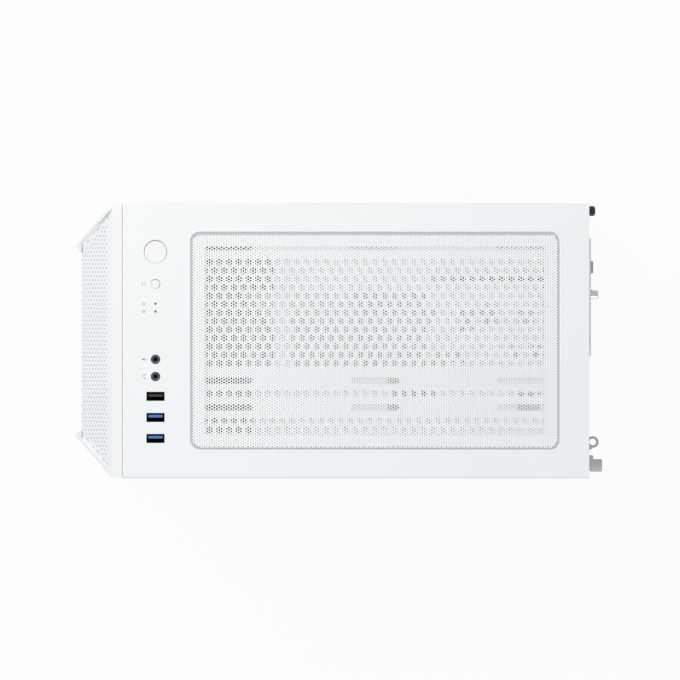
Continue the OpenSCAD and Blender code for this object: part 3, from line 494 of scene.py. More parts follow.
class Look:
    """The tower's finishes."""

    steel = Coating("white_powder_coat", "white_steel", (0.86, 0.874, 0.882), 0.48)
    # Darker copy of the white powder coat for parts inside the case: painted shade of the dim
    # interior.
    inner_steel_shaded = Coating("inner_coat_painted_shade", "white_steel", (0.80, 0.81, 0.82), 0.5)
    # Near-black on the white steel shroud: painted shade deep in the case, seen through the front
    # roof vents.
    shroud_shade = Coating("painted_shade_shroud_coat", "white_steel", (0.028, 0.03, 0.032), 0.5)
    plastic = Coating(
        "white_moulded_plastic", "white_plastic", (0.86, 0.87, 0.88), 0.42, relief=0.012
    )
    rotor = Coating("satin_fan_plastic", "rotor_plastic", (0.78, 0.79, 0.81), 0.35, relief=0.01)
    mesh = Coating("white_fine_mesh", "white_mesh", (0.945, 0.96, 0.965), 0.55, relief=0.02)
    front = Coating("white_front_mesh", "white_mesh", (0.86, 0.895, 0.91), 0.55, relief=0.02)
    cloth = Gauze("white_filter_cloth", "white_mesh", (0.84, 0.85, 0.86), 0.93)
    band = Coating("magnetic_band", "magnet_band", (0.80, 0.815, 0.825), 0.6)
    # Grey strip under the filter's outer rows: painted shade for the shadowed gap along the recess
    # wall.
    gap_shade_coat = Coating("painted_gap_shade", "magnet_band", (0.55, 0.56, 0.57), 0.7)
    rubber = Coating("grey_rubber", "rubber", (0.10, 0.10, 0.105), 0.8, relief=0.06, mottle=0.1)
    gloss = Coating(
        "black_gloss", "black_gloss", (0.012, 0.012, 0.014), 0.16, relief=0.0, mottle=0.2, coat=1.0
    )
    # Mid grey on the white thumbscrew heads: painted shade on their fluted sides.
    knob = Coating("white_knob_painted_shade", "white_knob", (0.62, 0.64, 0.65), 0.38, relief=0.01)
    zinc = Metal("zinc_plate", "zinc_steel", (0.60, 0.62, 0.64), 0.36)
    grey = Coating("grey_painted_screw", "zinc_steel", (0.42, 0.43, 0.44), 0.42, relief=0.01)
    chrome = Metal("polished_steel", "polished_steel", (0.74, 0.78, 0.82), 0.12, contrast=0.03)
    board = Laminate("dark_solder_mask", "circuit_board", (0.012, 0.013, 0.015), 0.32)
    flat_board = Laminate(
        "dark_solder_mask_flat", "circuit_board", (0.012, 0.013, 0.015), 0.32, flat_axis=2
    )
    lens = Coating("smoked_lens", "clear_plastic", (0.16, 0.165, 0.17), 0.2, relief=0.0, coat=0.6)
    black = Coating(
        "black_moulded_plastic", "black_plastic", (0.02, 0.02, 0.022), 0.45, mottle=0.15
    )
    collar = Coating("dark_grey_collar", "black_plastic", (0.075, 0.08, 0.09), 0.4, mottle=0.1)
    pit = Coating("unlit_cavity", "black_plastic", (0.004, 0.004, 0.006), 0.9, mottle=0.2)
    blue = Coating("blue_moulded_plastic", "blue_plastic", (0.035, 0.19, 0.60), 0.4, mottle=0.08)
    brass = Metal("turned_brass", "brass", (0.72, 0.54, 0.26), 0.3)
    gold = Metal("gold_contacts", "circuit_board", (0.85, 0.62, 0.28), 0.25)
    fins = Metal("white_coated_fins", "white_fins", (0.80, 0.81, 0.82), 0.5, contrast=0.04)
    nickel = Metal("nickel_plate", "nickel", (0.74, 0.72, 0.69), 0.18, (1, 0.05, 1), contrast=0.06)
    aluminium = Metal("bare_aluminium", "aluminium", (0.66, 0.67, 0.69), 0.34, (0.05, 1, 1))
    tin = Metal("tinned_cans", "circuit_board", (0.70, 0.71, 0.73), 0.3, contrast=0.05)
    chip = Coating("chip_epoxy", "circuit_board", (0.018, 0.018, 0.019), 0.55, mottle=0.2)
    cream = Coating("white_connector_nylon", "circuit_board", (0.74, 0.74, 0.72), 0.5)
    sleeve = Braid("white_braided_sleeve", "cable_sleeve", (0.74, 0.75, 0.76), 0.7)
    ink = Coating(
        "grey_printed_ink", "white_steel", (0.27, 0.27, 0.28), 0.6, grain=0.2, mottle=0.08
    )


# ------------------------------------------------------------------ mesh building


class Axis(Enum):
    """Direction that an outline is drawn out along, with the two axes that it is drawn in."""

    X = (1, 2, 0)
    Y = (0, 2, 1)
    Z = (0, 1, 2)

    def point(self, first: float, second: float, height: float) -> Vector:
        """A point from its two coordinates in the outline and its height."""
        values = [0.0, 0.0, 0.0]
        for index, value in zip(self.value, (first, second, height)):
            values[index] = value
        return Vector(values)


def case(x: float, y: float, z: float) -> Vector:
    """A point given in millimetres from the front lip, the middle plane and the floor."""
    return Vector((x * MM - Tower.length / 2, y * MM, z * MM))


class Tower:
    """Measures of the case that several sub-assemblies share, in metres."""

    length = 0.414
    roof_z = 0.460


def circle(radius: float, sides: int, centre: Point2 = (0.0, 0.0)) -> list[Point2]:
    """Points on a circle.

    Args:
        radius: The circle's radius.
        sides: Number of points.
        centre: The circle's centre.

    Returns:
        The points in order.
    """
    turns = [2 * math.pi * k / sides for k in range(sides)]
    return [(centre[0] + radius * math.cos(t), centre[1] + radius * math.sin(t)) for t in turns]


def round_box(low: Point2, high: Point2, radius: float, steps: int = 5) -> list[Point2]:
    """Outline of a rectangle with round corners.

    Args:
        low: Lowest corner.
        high: Highest corner.
        radius: Corner radius.
        steps: Points in a corner.

    Returns:
        The points in order.
    """
    corners = [(high[0], high[1]), (low[0], high[1]), (low[0], low[1]), (high[0], low[1])]
    outline = []
    for quarter, (x, y) in enumerate(corners):
        cx = x - radius if x == high[0] else x + radius
        cy = y - radius if y == high[1] else y + radius
        for step in range(steps):
            turn = math.pi / 2 * (quarter + step / (steps - 1))
            outline.append((cx + radius * math.cos(turn), cy + radius * math.sin(turn)))
    return outline


def plate(xs: Point2, ys: Point2, radius: float, steps: int = 5) -> list[Point2]:
    """Outline of a level plate with round corners.

    Args:
        xs: Its ends along X, as for case().
        ys: Its ends along Y.
        radius: Corner radius in millimetres.
        steps: Points in a corner.

    Returns:
        The points in order.
    """
    low, high = (case(x, y, 0).xy[:] for x, y in zip(xs, ys))
    return round_box(low, high, radius * MM, steps)


def arc(centre: Point2, radius: float, start: float, end: float, steps: int) -> list[Point2]:
    """Points along an arc, with the angles in degrees."""
    turns = [math.radians(start + (end - start) * k / (steps - 1)) for k in range(steps)]
    return [(centre[0] + radius * math.cos(t), centre[1] + radius * math.sin(t)) for t in turns]


def band(path: Sequence[Point2], width: float) -> list[Point2]:
    """Outline of a line of constant width with square ends.

    Args:
        path: The line's points.
        width: Its width.

    Returns:
        The outline's points in order.
    """
    left, right = [], []
    for i, point in enumerate(path):
        before, after = path[max(i - 1, 0)], path[min(i + 1, len(path) - 1)]
        along = Vector((after[0] - before[0], after[1] - before[1])).normalized()
        side = Vector((-along.y, along.x)) * (width / 2)
        left.append((point[0] + side.x, point[1] + side.y))
        right.append((point[0] - side.x, point[1] - side.y))
    return left + right[::-1]


def smooth_path(points: Sequence[Vector], steps: int) -> list[Vector]:
    """A smooth curve through points.

    Args:
        points: The points that it passes through.
        steps: Number of stretches between two of them.

    Returns:
        The curve's points.
    """
    curve = []
    ends = [points[0] * 2 - points[1], *points, points[-1] * 2 - points[-2]]
    for i in range(1, len(ends) - 2):
        p, q, r, s = ends[i - 1 : i + 3]
        for k in range(steps):
            t = k / steps
            bend = (2 * p - 5 * q + 4 * r - s) * t * t + (3 * q - p - 3 * r + s) * t**3
            curve.append(q + ((r - p) * t + bend) / 2)
    return [*curve, points[-1]]


class Shape:
    """Points and faces of a piece that is being made."""

    def __init__(self) -> None:
        """Starts with nothing."""
        self.points: list[Vector] = []
        self.faces: list[Sequence[int]] = []

    def add(self, points: Sequence[Vector], faces: Iterable[Sequence[int]]) -> Shape:
        """Adds points, and faces that count from the first of them."""
        start = len(self.points)
        self.points.extend(points)
        self.faces.extend(tuple(start + i for i in face) for face in faces)
        return self

    def loft(self, rings: Sequence[Sequence[Vector]], closed: bool = False) -> Shape:
        """Joins rings into a closed skin.

        Args:
            rings: Rings of equally many points. A ring of one point is a tip.
            closed: Whether the last ring joins the first.

        Returns:
            The shape itself.
        """
        starts, points, faces = [], [], []
        for ring in rings:
            starts.append(len(points))
            points.extend(ring)
        pairs = list(zip(range(len(rings)), range(1, len(rings))))
        for i, j in pairs + ([(len(rings) - 1, 0)] if closed else []):
            count = max(len(rings[i]), len(rings[j]))
            for k in range(count):
                n = (k + 1) % count
                low = [starts[i] + k, starts[i] + n] if len(rings[i]) > 1 else [starts[i]]
                high = [starts[j] + n, starts[j] + k] if len(rings[j]) > 1 else [starts[j]]
                faces.append(low + high)
        if not closed:
            for i in (0, len(rings) - 1):
                if len(rings[i]) > 2:
                    faces.append([starts[i] + k for k in range(len(rings[i]))])
        return self.add(points, faces)

    def lathe(
        self,
        axis: Axis,
        centre: Vector,
        profile: Sequence[Point2],
        sides: int = 48,
        closed: bool = False,
    ) -> Shape:
        """Turns a profile round an axis.

        Args:
            axis: The axis.
            centre: A point on it, from which heights count.
            profile: Radius and height of each point in millimetres.
            sides: Number of sides.
            closed: Whether the profile is a loop that stays off the axis.

        Returns:
            The shape itself.
        """
        rings = []
        for radius, height in profile:
            spots = circle(radius * MM, sides) if radius > 0 else [(0.0, 0.0)]
            rings.append([centre + axis.point(a, b, height * MM) for a, b in spots])
        return self.loft(rings, closed)

    def prism(
        self,
        axis: Axis,
        outline: Sequence[Point2],
        low: float,
        high: float,
        holes: Sequence[Sequence[Point2]] = (),
    ) -> Shape:
        """Draws an outline out along an axis.

        Args:
            axis: The axis.
            outline: Points of the outline.
            low: Where the prism starts.
            high: Where it ends.
            holes: Outlines of the holes that go through it.

        Returns:
            The shape itself.
        """
        rings = [list(outline), *(list(hole) for hole in holes)]
        count = sum(len(ring) for ring in rings)
        points = [axis.point(a, b, h) for h in (low, high) for ring in rings for a, b in ring]
        if holes:
            flat = [[Vector((a, b, 0.0)) for a, b in ring] for ring in rings]
            caps = [tuple(face) for face in tessellate_polygon(flat)]
        else:
            caps = [tuple(range(count))]
        faces = caps + [tuple(i + count for i in cap) for cap in caps]
        start = 0
        for ring in rings:
            for k in range(len(ring)):
                n = (k + 1) % len(ring)
                faces.append((start + k, start + n, start + n + count, start + k + count))
            start += len(ring)
        return self.add(points, faces)

    def box(self, low: Sequence[float], high: Sequence[float]) -> Shape:
        """Adds a box between two corners, which are given as for case()."""
        (x0, y0, z0), (x1, y1, z1) = case(*low), case(*high)
        return self.prism(Axis.Z, [(x0, y0), (x1, y0), (x1, y1), (x0, y1)], z0, z1)

    def tube(self, path: Sequence[Vector], radius: float, sides: int = 10) -> Shape:
        """Sweeps a circle along a path.

        Args:
            path: The points that the tube follows.
            radius: Its radius in metres.
            sides: Number of sides.

        Returns:
            The shape itself.
        """
        return self.loft(swept(path, circle(radius, sides)))

    def piece(
        self,
        name: str,
        finish: Finish,
        body: str = "chassis",
        replaces: Sequence[str] = (),
        bevel: float = 0.0,
        crease: float = 35.0,
    ) -> bpy.types.Object:
        """Makes the object and fastens it to its body.

        Args:
            name: The object's name.
            finish: Its finish.
            body: The body that it moves with.
            replaces: The nodes that it stands for.
            bevel: Width of its rounded edges in millimetres, or 0 for none.
            crease: Angle in degrees above which an edge looks sharp.

        Returns:
            The object.
        """
        mesh = bpy.data.meshes.new(name)
        mesh.from_pydata([tuple(p) for p in self.points], [], [list(f) for f in self.faces])
        work = bmesh.new()
        work.from_mesh(mesh)
        bmesh.ops.recalc_face_normals(work, faces=work.faces)
        work.to_mesh(mesh)
        work.free()
        mesh.shade_smooth()
        mesh.set_sharp_from_angle(angle=math.radians(crease))
        mesh.materials.append(finish.material())
        made = link(name, mesh)
        if bevel:
            soften(made, bevel)
        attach(made, body)
        for node in replaces:
            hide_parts(node)
        LOG.info("%s: %d faces on %s", name, len(mesh.polygons), body)
        return made


def swept(path: Sequence[Vector], outline: Sequence[Point2]) -> list[list[Vector]]:
    """Rings of an outline that is carried along a path without twisting.

    Args:
        path: The path's points.
        outline: The outline, across the path.

    Returns:
        One ring for each point of the path.
    """
    rings = []
    side = Vector((0.31, 0.57, 0.76))
    for i, point in enumerate(path):
        along = (path[min(i + 1, len(path) - 1)] - path[max(i - 1, 0)]).normalized()
        side = (side - along * side.dot(along)).normalized()
        other = along.cross(side)
        rings.append([point + side * a + other * b for a, b in outline])
    return rings


def link(name: str, data: bpy.types.ID) -> bpy.types.Object:
    """Puts a new object with its data into the scene."""
    made = bpy.data.objects.new(name, data)
    bpy.context.scene.collection.objects.link(made)
    return made


def soften(made: bpy.types.Object, width: float) -> None:
    """Rounds an object's edges a little.

    Args:
        made: The object.
        width: Width of the rounding in millimetres.
    """
    weld = made.modifiers.new("weld", "WELD")
    weld.merge_threshold = 0.002 * MM
    bevel = made.modifiers.new("bevel", "BEVEL")
    bevel.width = width * MM
    bevel.segments = 2
    bevel.limit_method = "ANGLE"
    bevel.angle_limit = math.radians(40)
    bevel.use_clamp_overlap = True
    shading = made.modifiers.new("shading", "WEIGHTED_NORMAL")
    shading.keep_sharp = True


def dress(nodes: Union[str, Sequence[str]], finish: Finish, bevel: float = 0.0) -> None:
    """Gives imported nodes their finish.

    Args:
        nodes: Name or names of the nodes.
        finish: The finish.
        bevel: Width of their rounded edges in millimetres, or 0 for none.
    """
    for name in [nodes] if isinstance(nodes, str) else nodes:
        made = bpy.data.objects[name]
        for place in made.material_slots:
            place.link = "OBJECT"
            place.material = finish.material()
        if bevel:
            soften(made, bevel)
        LOG.info("%s: %s", name, finish.name)


# ------------------------------------------------------------------ sheets with fine holes


@dataclass(frozen=True)
class Honeycomb:
    """Sheet pierced by hexagonal holes, in columns that are shifted by half in turn.

    Attributes:
        pitch: Distance between holes.
        hole: Radius of a hole.
        margin: Distance from the sheet's edge within which cells have no hole.
        rim: Distance from the edge within which there are no cells.
    """

    pitch: float
    hole: float
    margin: float
    rim: float

    @property
    def column(self) -> float:
        """Distance between columns."""
        return self.pitch * math.sqrt(3) / 2

    def cells(
        self, low: Point2, high: Point2, inset: Callable[[float, float], float]
    ) -> dict[Point2, tuple]:
        """Lays out the lattice.

        Args:
            low: Lowest corner of its field.
            high: Highest corner.
            inset: Gives a place's distance from the sheet's edge.

        Returns:
            The centre of each cell and whether it has a hole, by column and row.
        """
        found = {}
        for i in range(int((high[0] - low[0]) / self.column) + 1):
            for j in range(int((high[1] - low[1]) / self.pitch) + 1):
                a, b = low[0] + i * self.column, low[1] + (j + i % 2 / 2) * self.pitch
                depth = inset(a, b)
                if depth > self.rim:
                    found[i, j] = (a, b, depth > self.margin)
        return found

    def net(self, cells: dict[Point2, tuple]) -> tuple[list[Point2], list[tuple[int, ...]]]:
        """Joins the cells into one flat net of webs round the holes.

        Args:
            cells: The lattice.

        Returns:
            The net's points and its faces.
        """
        corners = circle(self.hole, 6)
        # Each cell has six points. Its webs reach to three of its neighbours, so that each
        # web is made once, and a triangle fills the gap where three cells meet.
        index = {key: 6 * n for n, key in enumerate(cells)}
        flat = [(a + x, b + y) for a, b, _ in cells.values() for x, y in corners]
        faces = []
        for (i, j), start in index.items():
            if not cells[i, j][2]:
                faces.append(tuple(start + k for k in range(6)))
            odd = i % 2
            around = [index.get(key) for key in ((i + 1, j + odd), (i, j + 1), (i - 1, j + odd))]
            for turn, other in enumerate(around):
                if other is not None:
                    ends = (other + (turn + 4) % 6, other + (turn + 3) % 6)
                    faces.append((start + turn, *ends, start + turn + 1))
            for turn in (0, 1):
                one, two = around[turn], around[turn + 1]
                if one is not None and two is not None:
                    faces.append((start + turn + 1, one + turn + 3, two + (turn + 5) % 6))
        return flat, faces


def thickened(
    flat: Sequence[Point2],
    faces: Sequence[Sequence[int]],
    depths: tuple[float, float],
    place: Callable[[float, float, float], Vector],
) -> Shape:
    """Gives a flat net of faces a back and walls.

    Args:
        flat: Points of the net.
        faces: Its faces, which need not use every point.
        depths: Depths of the face and of the back.
        place: Turns a place on the net and a depth into a point.

    Returns:
        The closed shape.
    """
    used = {i: n for n, i in enumerate(sorted({i for face in faces for i in face}))}
    kept = [tuple(used[i] for i in face) for face in faces]
    edges = {(a, b) for face in kept for a, b in zip(face, (*face[1:], face[0]))}
    count = len(used)
    walls = [(b, a, a + count, b + count) for a, b in edges if (b, a) not in edges]
    backs = [tuple(i + count for i in reversed(face)) for face in kept]
    points = [place(*flat[i], depth) for depth in depths for i in used]
    return Shape().add(points, [*kept, *backs, *sorted(walls)])


@dataclass
class RoofFilter:
    """Magnetic filter on the roof: mesh, band, a grey strip of painted shade at its edge, and the
    recess's raised lip.

    Attributes:
        sheet: Lattice of the mesh.
        band_out: Distance from the filter's edge to the band.
        band_in: Distance from the edge to the band's inner side.
        sag: How far the mesh sinks on to the steel inside the band.
        slack: Distance over which it sinks.
        corner: Radius of the filter's corners.
        bend: Rounding of the band and of the strip of painted shade.
        shade_strip_edge: Distance from the edge to the strip of painted shade.
        shade_strip_height: Height of that strip.
        lip: Section of the lip in millimetres, from the filter's edge and above the roof.
    """

    sheet: Honeycomb = Honeycomb(2.18 * MM, 0.78 * MM, 0.9 * MM, 0.9 * MM)
    band_out: float = 2.5 * MM
    band_in: float = 11.1 * MM
    sag: float = 0.48 * MM
    slack: float = 3.5 * MM
    corner: float = 7.1 * MM
    bend: float = 0.12 * MM
    shade_strip_edge: float = 0.2 * MM
    shade_strip_height: float = 0.3 * MM
    lip: tuple[Point2, ...] = (
        (-2.3, -0.3), (-2.3, 0.02), (-1.9, 0.16), (-1.5, 0.22), (-1.1, 0.2), (-0.45, -0.02),
        (-0.45, -0.3),
    )

    def build(self) -> None:
        """Makes the mesh in two halves, because it has so many holes."""
        low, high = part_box("top_filter_mesh")

        def inset(x: float, y: float) -> float:
            """Distance from the filter's edge, which has round corners."""
            past_x = max(low.x + self.corner - x, x - high.x + self.corner)
            past_y = max(low.y + self.corner - y, y - high.y + self.corner)
            if past_x > 0 and past_y > 0:
                return self.corner - math.hypot(past_x, past_y)
            return self.corner - max(past_x, past_y)

        def place(x: float, y: float, depth: float) -> Vector:
            """A point of the mesh, which sags on to the steel inside the band."""
            past = inset(x, y) - self.band_in - 0.4 * MM
            share = min(1.0, max(0.0, past / self.slack))
            return Vector((x, y, high.z - depth - self.sag * share * share * (3 - 2 * share)))

        start = (low.x + 1.5 * MM, low.y + 1.0 * MM)
        flat, faces = self.sheet.net(self.sheet.cells(start, (high.x, high.y), inset))
        middle = (low.x + high.x) / 2
        for name, front in (("filter_mesh_front", True), ("filter_mesh_rear", False)):
            half = [f for f in faces if (sum(flat[i][0] for i in f) / len(f) < middle) == front]
            shape = thickened(flat, half, (0.02 * MM, 0.27 * MM), place)
            shape.piece(name, Look.mesh, "top_filter", ["top_filter_mesh"])
        self.band()

    def ring(self, profile: Sequence[Point2]) -> Shape:
        """Sweeps a profile round the filter.

        Args:
            profile: Distances in from the filter's edge, and heights.

        Returns:
            The closed ring.
        """
        low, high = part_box("top_filter_mesh")
        rings = []
        for inset, z in profile:
            near, far = low.xy + Vector((inset,) * 2), high.xy - Vector((inset,) * 2)
            radius = max(1.2 * MM, self.corner - inset)
            rings.append([Vector((x, y, z)) for x, y in round_box(near[:], far[:], radius, 8)])
        return Shape().loft(rings, closed=True)

    def band(self) -> None:
        """Makes the magnetic band, a grey strip of painted shade outside it for the shadowed gap,
        and the lip round both.
        """
        low, high = (corner.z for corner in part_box("top_filter_frame"))
        out, inner, bend = self.band_out, self.band_in, self.bend
        profile = [(out + bend, low), (out, low + bend), (out, high - bend), (out + bend, high)]
        profile += [(inner - bend, high), (inner, high - bend), (inner, low + bend)]
        profile += [(inner - bend, low)]
        self.ring(profile).piece("magnetic_band", Look.band, "top_filter", ["top_filter_frame"])
        # The grey strip under the mesh's outer rows is painted shade for the shadowed gap along
        # the recess wall.
        edge, top = self.shade_strip_edge, low + self.shade_strip_height
        profile = [(edge, low), (edge, top - bend), (edge + bend, top), (out - bend, top)]
        profile += [(out - bend, low)]
        self.ring(profile).piece("filter_gap_shade_strip", Look.gap_shade_coat, "top_filter")
        profile = [(inset * MM, Tower.roof_z + rise * MM) for inset, rise in self.lip]
        self.ring(profile).piece("recess_lip", Look.steel)


@dataclass
class FrontPanel:
    """Bent front mesh with its border, the cloth behind it, and the bevels at its sides.

    Attributes:
        sheet: Lattice of the mesh, in metres. The other lengths are in millimetres.
        mesh_x: The mesh's face, as for case().
        strip_x: Front edge of the control strip.
        chin_z: Lower edge of the mesh.
        fold_z: Height at which the mesh folds back.
        slope_top: Height of the slope's upper end.
        slope: Angle of the slope in radians.
        low_half: Half the mesh's width below the fold.
        high_half: Half its width at the strip.
        low_wall: Distance from the middle to the frame's edge at the fold.
        high_wall: The same at the strip.
        border: Width of the plain border.
        gauge: Thickness of the net.
        rise: Height of the frame's edge over the slope.
        bevel: Width of the bevel inside it.
        lip: Section of the lip under the strip.
    """

    sheet: Honeycomb = Honeycomb(3.65 * MM, 0.95 * MM, 4.3 * MM, -0.5 * MM)
    mesh_x: float = 4.7
    strip_x: float = 28.9
    chin_z: float = 40.1
    fold_z: float = 431.4
    slope_top: float = 459.8
    slope: float = math.radians(49.6)
    low_half: float = 75.0
    high_half: float = 101.0
    low_wall: float = 77.7
    high_wall: float = 103.4
    border: float = 2.8
    gauge: float = 0.25
    rise: float = 2.9
    bevel: float = 3.1
    lip: tuple[Point2, ...] = ((27.6, 458.3), (28.95, 459.75), (28.95, 457.6), (27.6, 456.8))

    def half_width(self, run: float) -> float:
        """Half the mesh's width at a distance in millimetres up from its lower edge."""
        past = (run - (self.fold_z - self.chin_z)) * math.cos(self.slope) - 1.0
        share = min(1.0, max(0.0, past / (self.strip_x - self.mesh_x - 1.2)))
        return self.low_half + (self.high_half - self.low_half) * share

    def place(self, across: float, run: float, depth: float) -> Vector:
        """A point of the mesh from metres across and up it, and a depth below its face."""
        past = run / MM - (self.fold_z - self.chin_z)
        if past < 0:
            return case(self.mesh_x + depth / MM, across / MM, self.chin_z + run / MM)
        x = self.mesh_x + past * math.cos(self.slope) + depth / MM * math.sin(self.slope)
        z = self.fold_z + past * math.sin(self.slope) - depth / MM * math.cos(self.slope)
        return case(x, across / MM, z)

    def build(self) -> None:
        """Makes the mesh and the rim, and dresses the frame."""
        fold = (self.fold_z - self.chin_z) * MM
        top = fold + ((self.strip_x - self.mesh_x) / math.cos(self.slope) - 1.6) * MM

        def inset(across: float, run: float) -> float:
            """Distance from the mesh's edge, which its net passes everywhere but at the strip."""
            if top - run < 1.7 * MM:
                return -1.0
            return min(self.half_width(run / MM) * MM - abs(across), run, top - run)

        reach = self.high_half * MM
        start = (-round(reach / self.sheet.column) * self.sheet.column, 1.5 * MM)
        flat, faces = self.sheet.net(self.sheet.cells(start, (reach, top), inset))
        shape = thickened(flat, faces, (0.0, self.gauge * MM), self.place)
        self.edge(shape, fold, top)
        shape.piece("front_fine_mesh", Look.front, "front_panel", ["front_mesh"])
        self.cloth(fold, top)
        self.rim()
        dress("front_frame", Look.plastic, 0.3)

    def edge(self, shape: Shape, fold: float, top: float) -> None:
        """Adds the plain border of the mesh.

        Args:
            shape: The mesh.
            fold: Distance from the lower edge to the fold.
            top: Distance from the lower edge to the upper one.
        """
        loops = []
        for inset in (0.0, self.border * MM):
            side = [
                (self.low_half * MM - inset, inset),
                (self.low_half * MM - inset, fold),
                (self.high_half * MM - inset, top - inset),
            ]
            loops.append(side + [(-a, b) for a, b in reversed(side)])
        near, far = -0.02 * MM, 1.1 * MM
        rings = []
        for outer, inner in zip(*loops):
            spots = ((outer, near), (outer, far), (inner, far), (inner, near))
            rings.append([self.place(*spot, depth) for spot, depth in spots])
        shape.loft(rings, closed=True)

    def cloth(self, fold: float, top: float) -> None:
        """Makes the thin filter cloth that lies behind the mesh.

        Args:
            fold: Distance from the lower edge to the fold.
            top: Distance from the lower edge to the upper one.
        """
        near, far = (self.gauge + 0.05) * MM, (self.gauge + 0.35) * MM
        low, high = (self.low_half - 1.0) * MM, (self.high_half - 1.0) * MM
        rings = []
        for run, side in ((1 * MM, low), (fold, low), (top - 1 * MM, high)):
            spots = ((-side, near), (side, near), (side, far), (-side, far))
            rings.append([self.place(across, run, depth) for across, depth in spots])
        Shape().loft(rings).piece("front_filter_cloth", Look.cloth, "front_panel")

    def rim(self) -> None:
        """Makes the bevels beside the sloping mesh, and the lip under the strip above it."""
        shape = Shape()
        for side in (-1, 1):
            sections = []
            for share in (0.0, 0.5, 1.0):
                x = self.mesh_x + (self.strip_x - self.mesh_x) * share
                wall = self.low_wall + (self.high_wall - self.low_wall) * share
                face = self.fold_z + (self.slope_top - self.fold_z) * share
                inner = wall - self.bevel
                corners = [
                    (wall, min(face + self.rise, self.slope_top - 0.1)),
                    (wall + 0.5, face - 1),
                    (inner, face - 1),
                    (inner, face + 0.1),
                ]
                sections.append([case(x, side * y, z) for y, z in corners])
            shape.loft(sections)
        lip = [(case(x, 0, 0).x, z * MM) for x, z in self.lip]
        shape.prism(Axis.Y, lip, -self.high_half * MM, self.high_half * MM)
        shape.piece("front_rim_bevels", Look.plastic, "front_panel")


# ------------------------------------------------------------------ controls on the roof


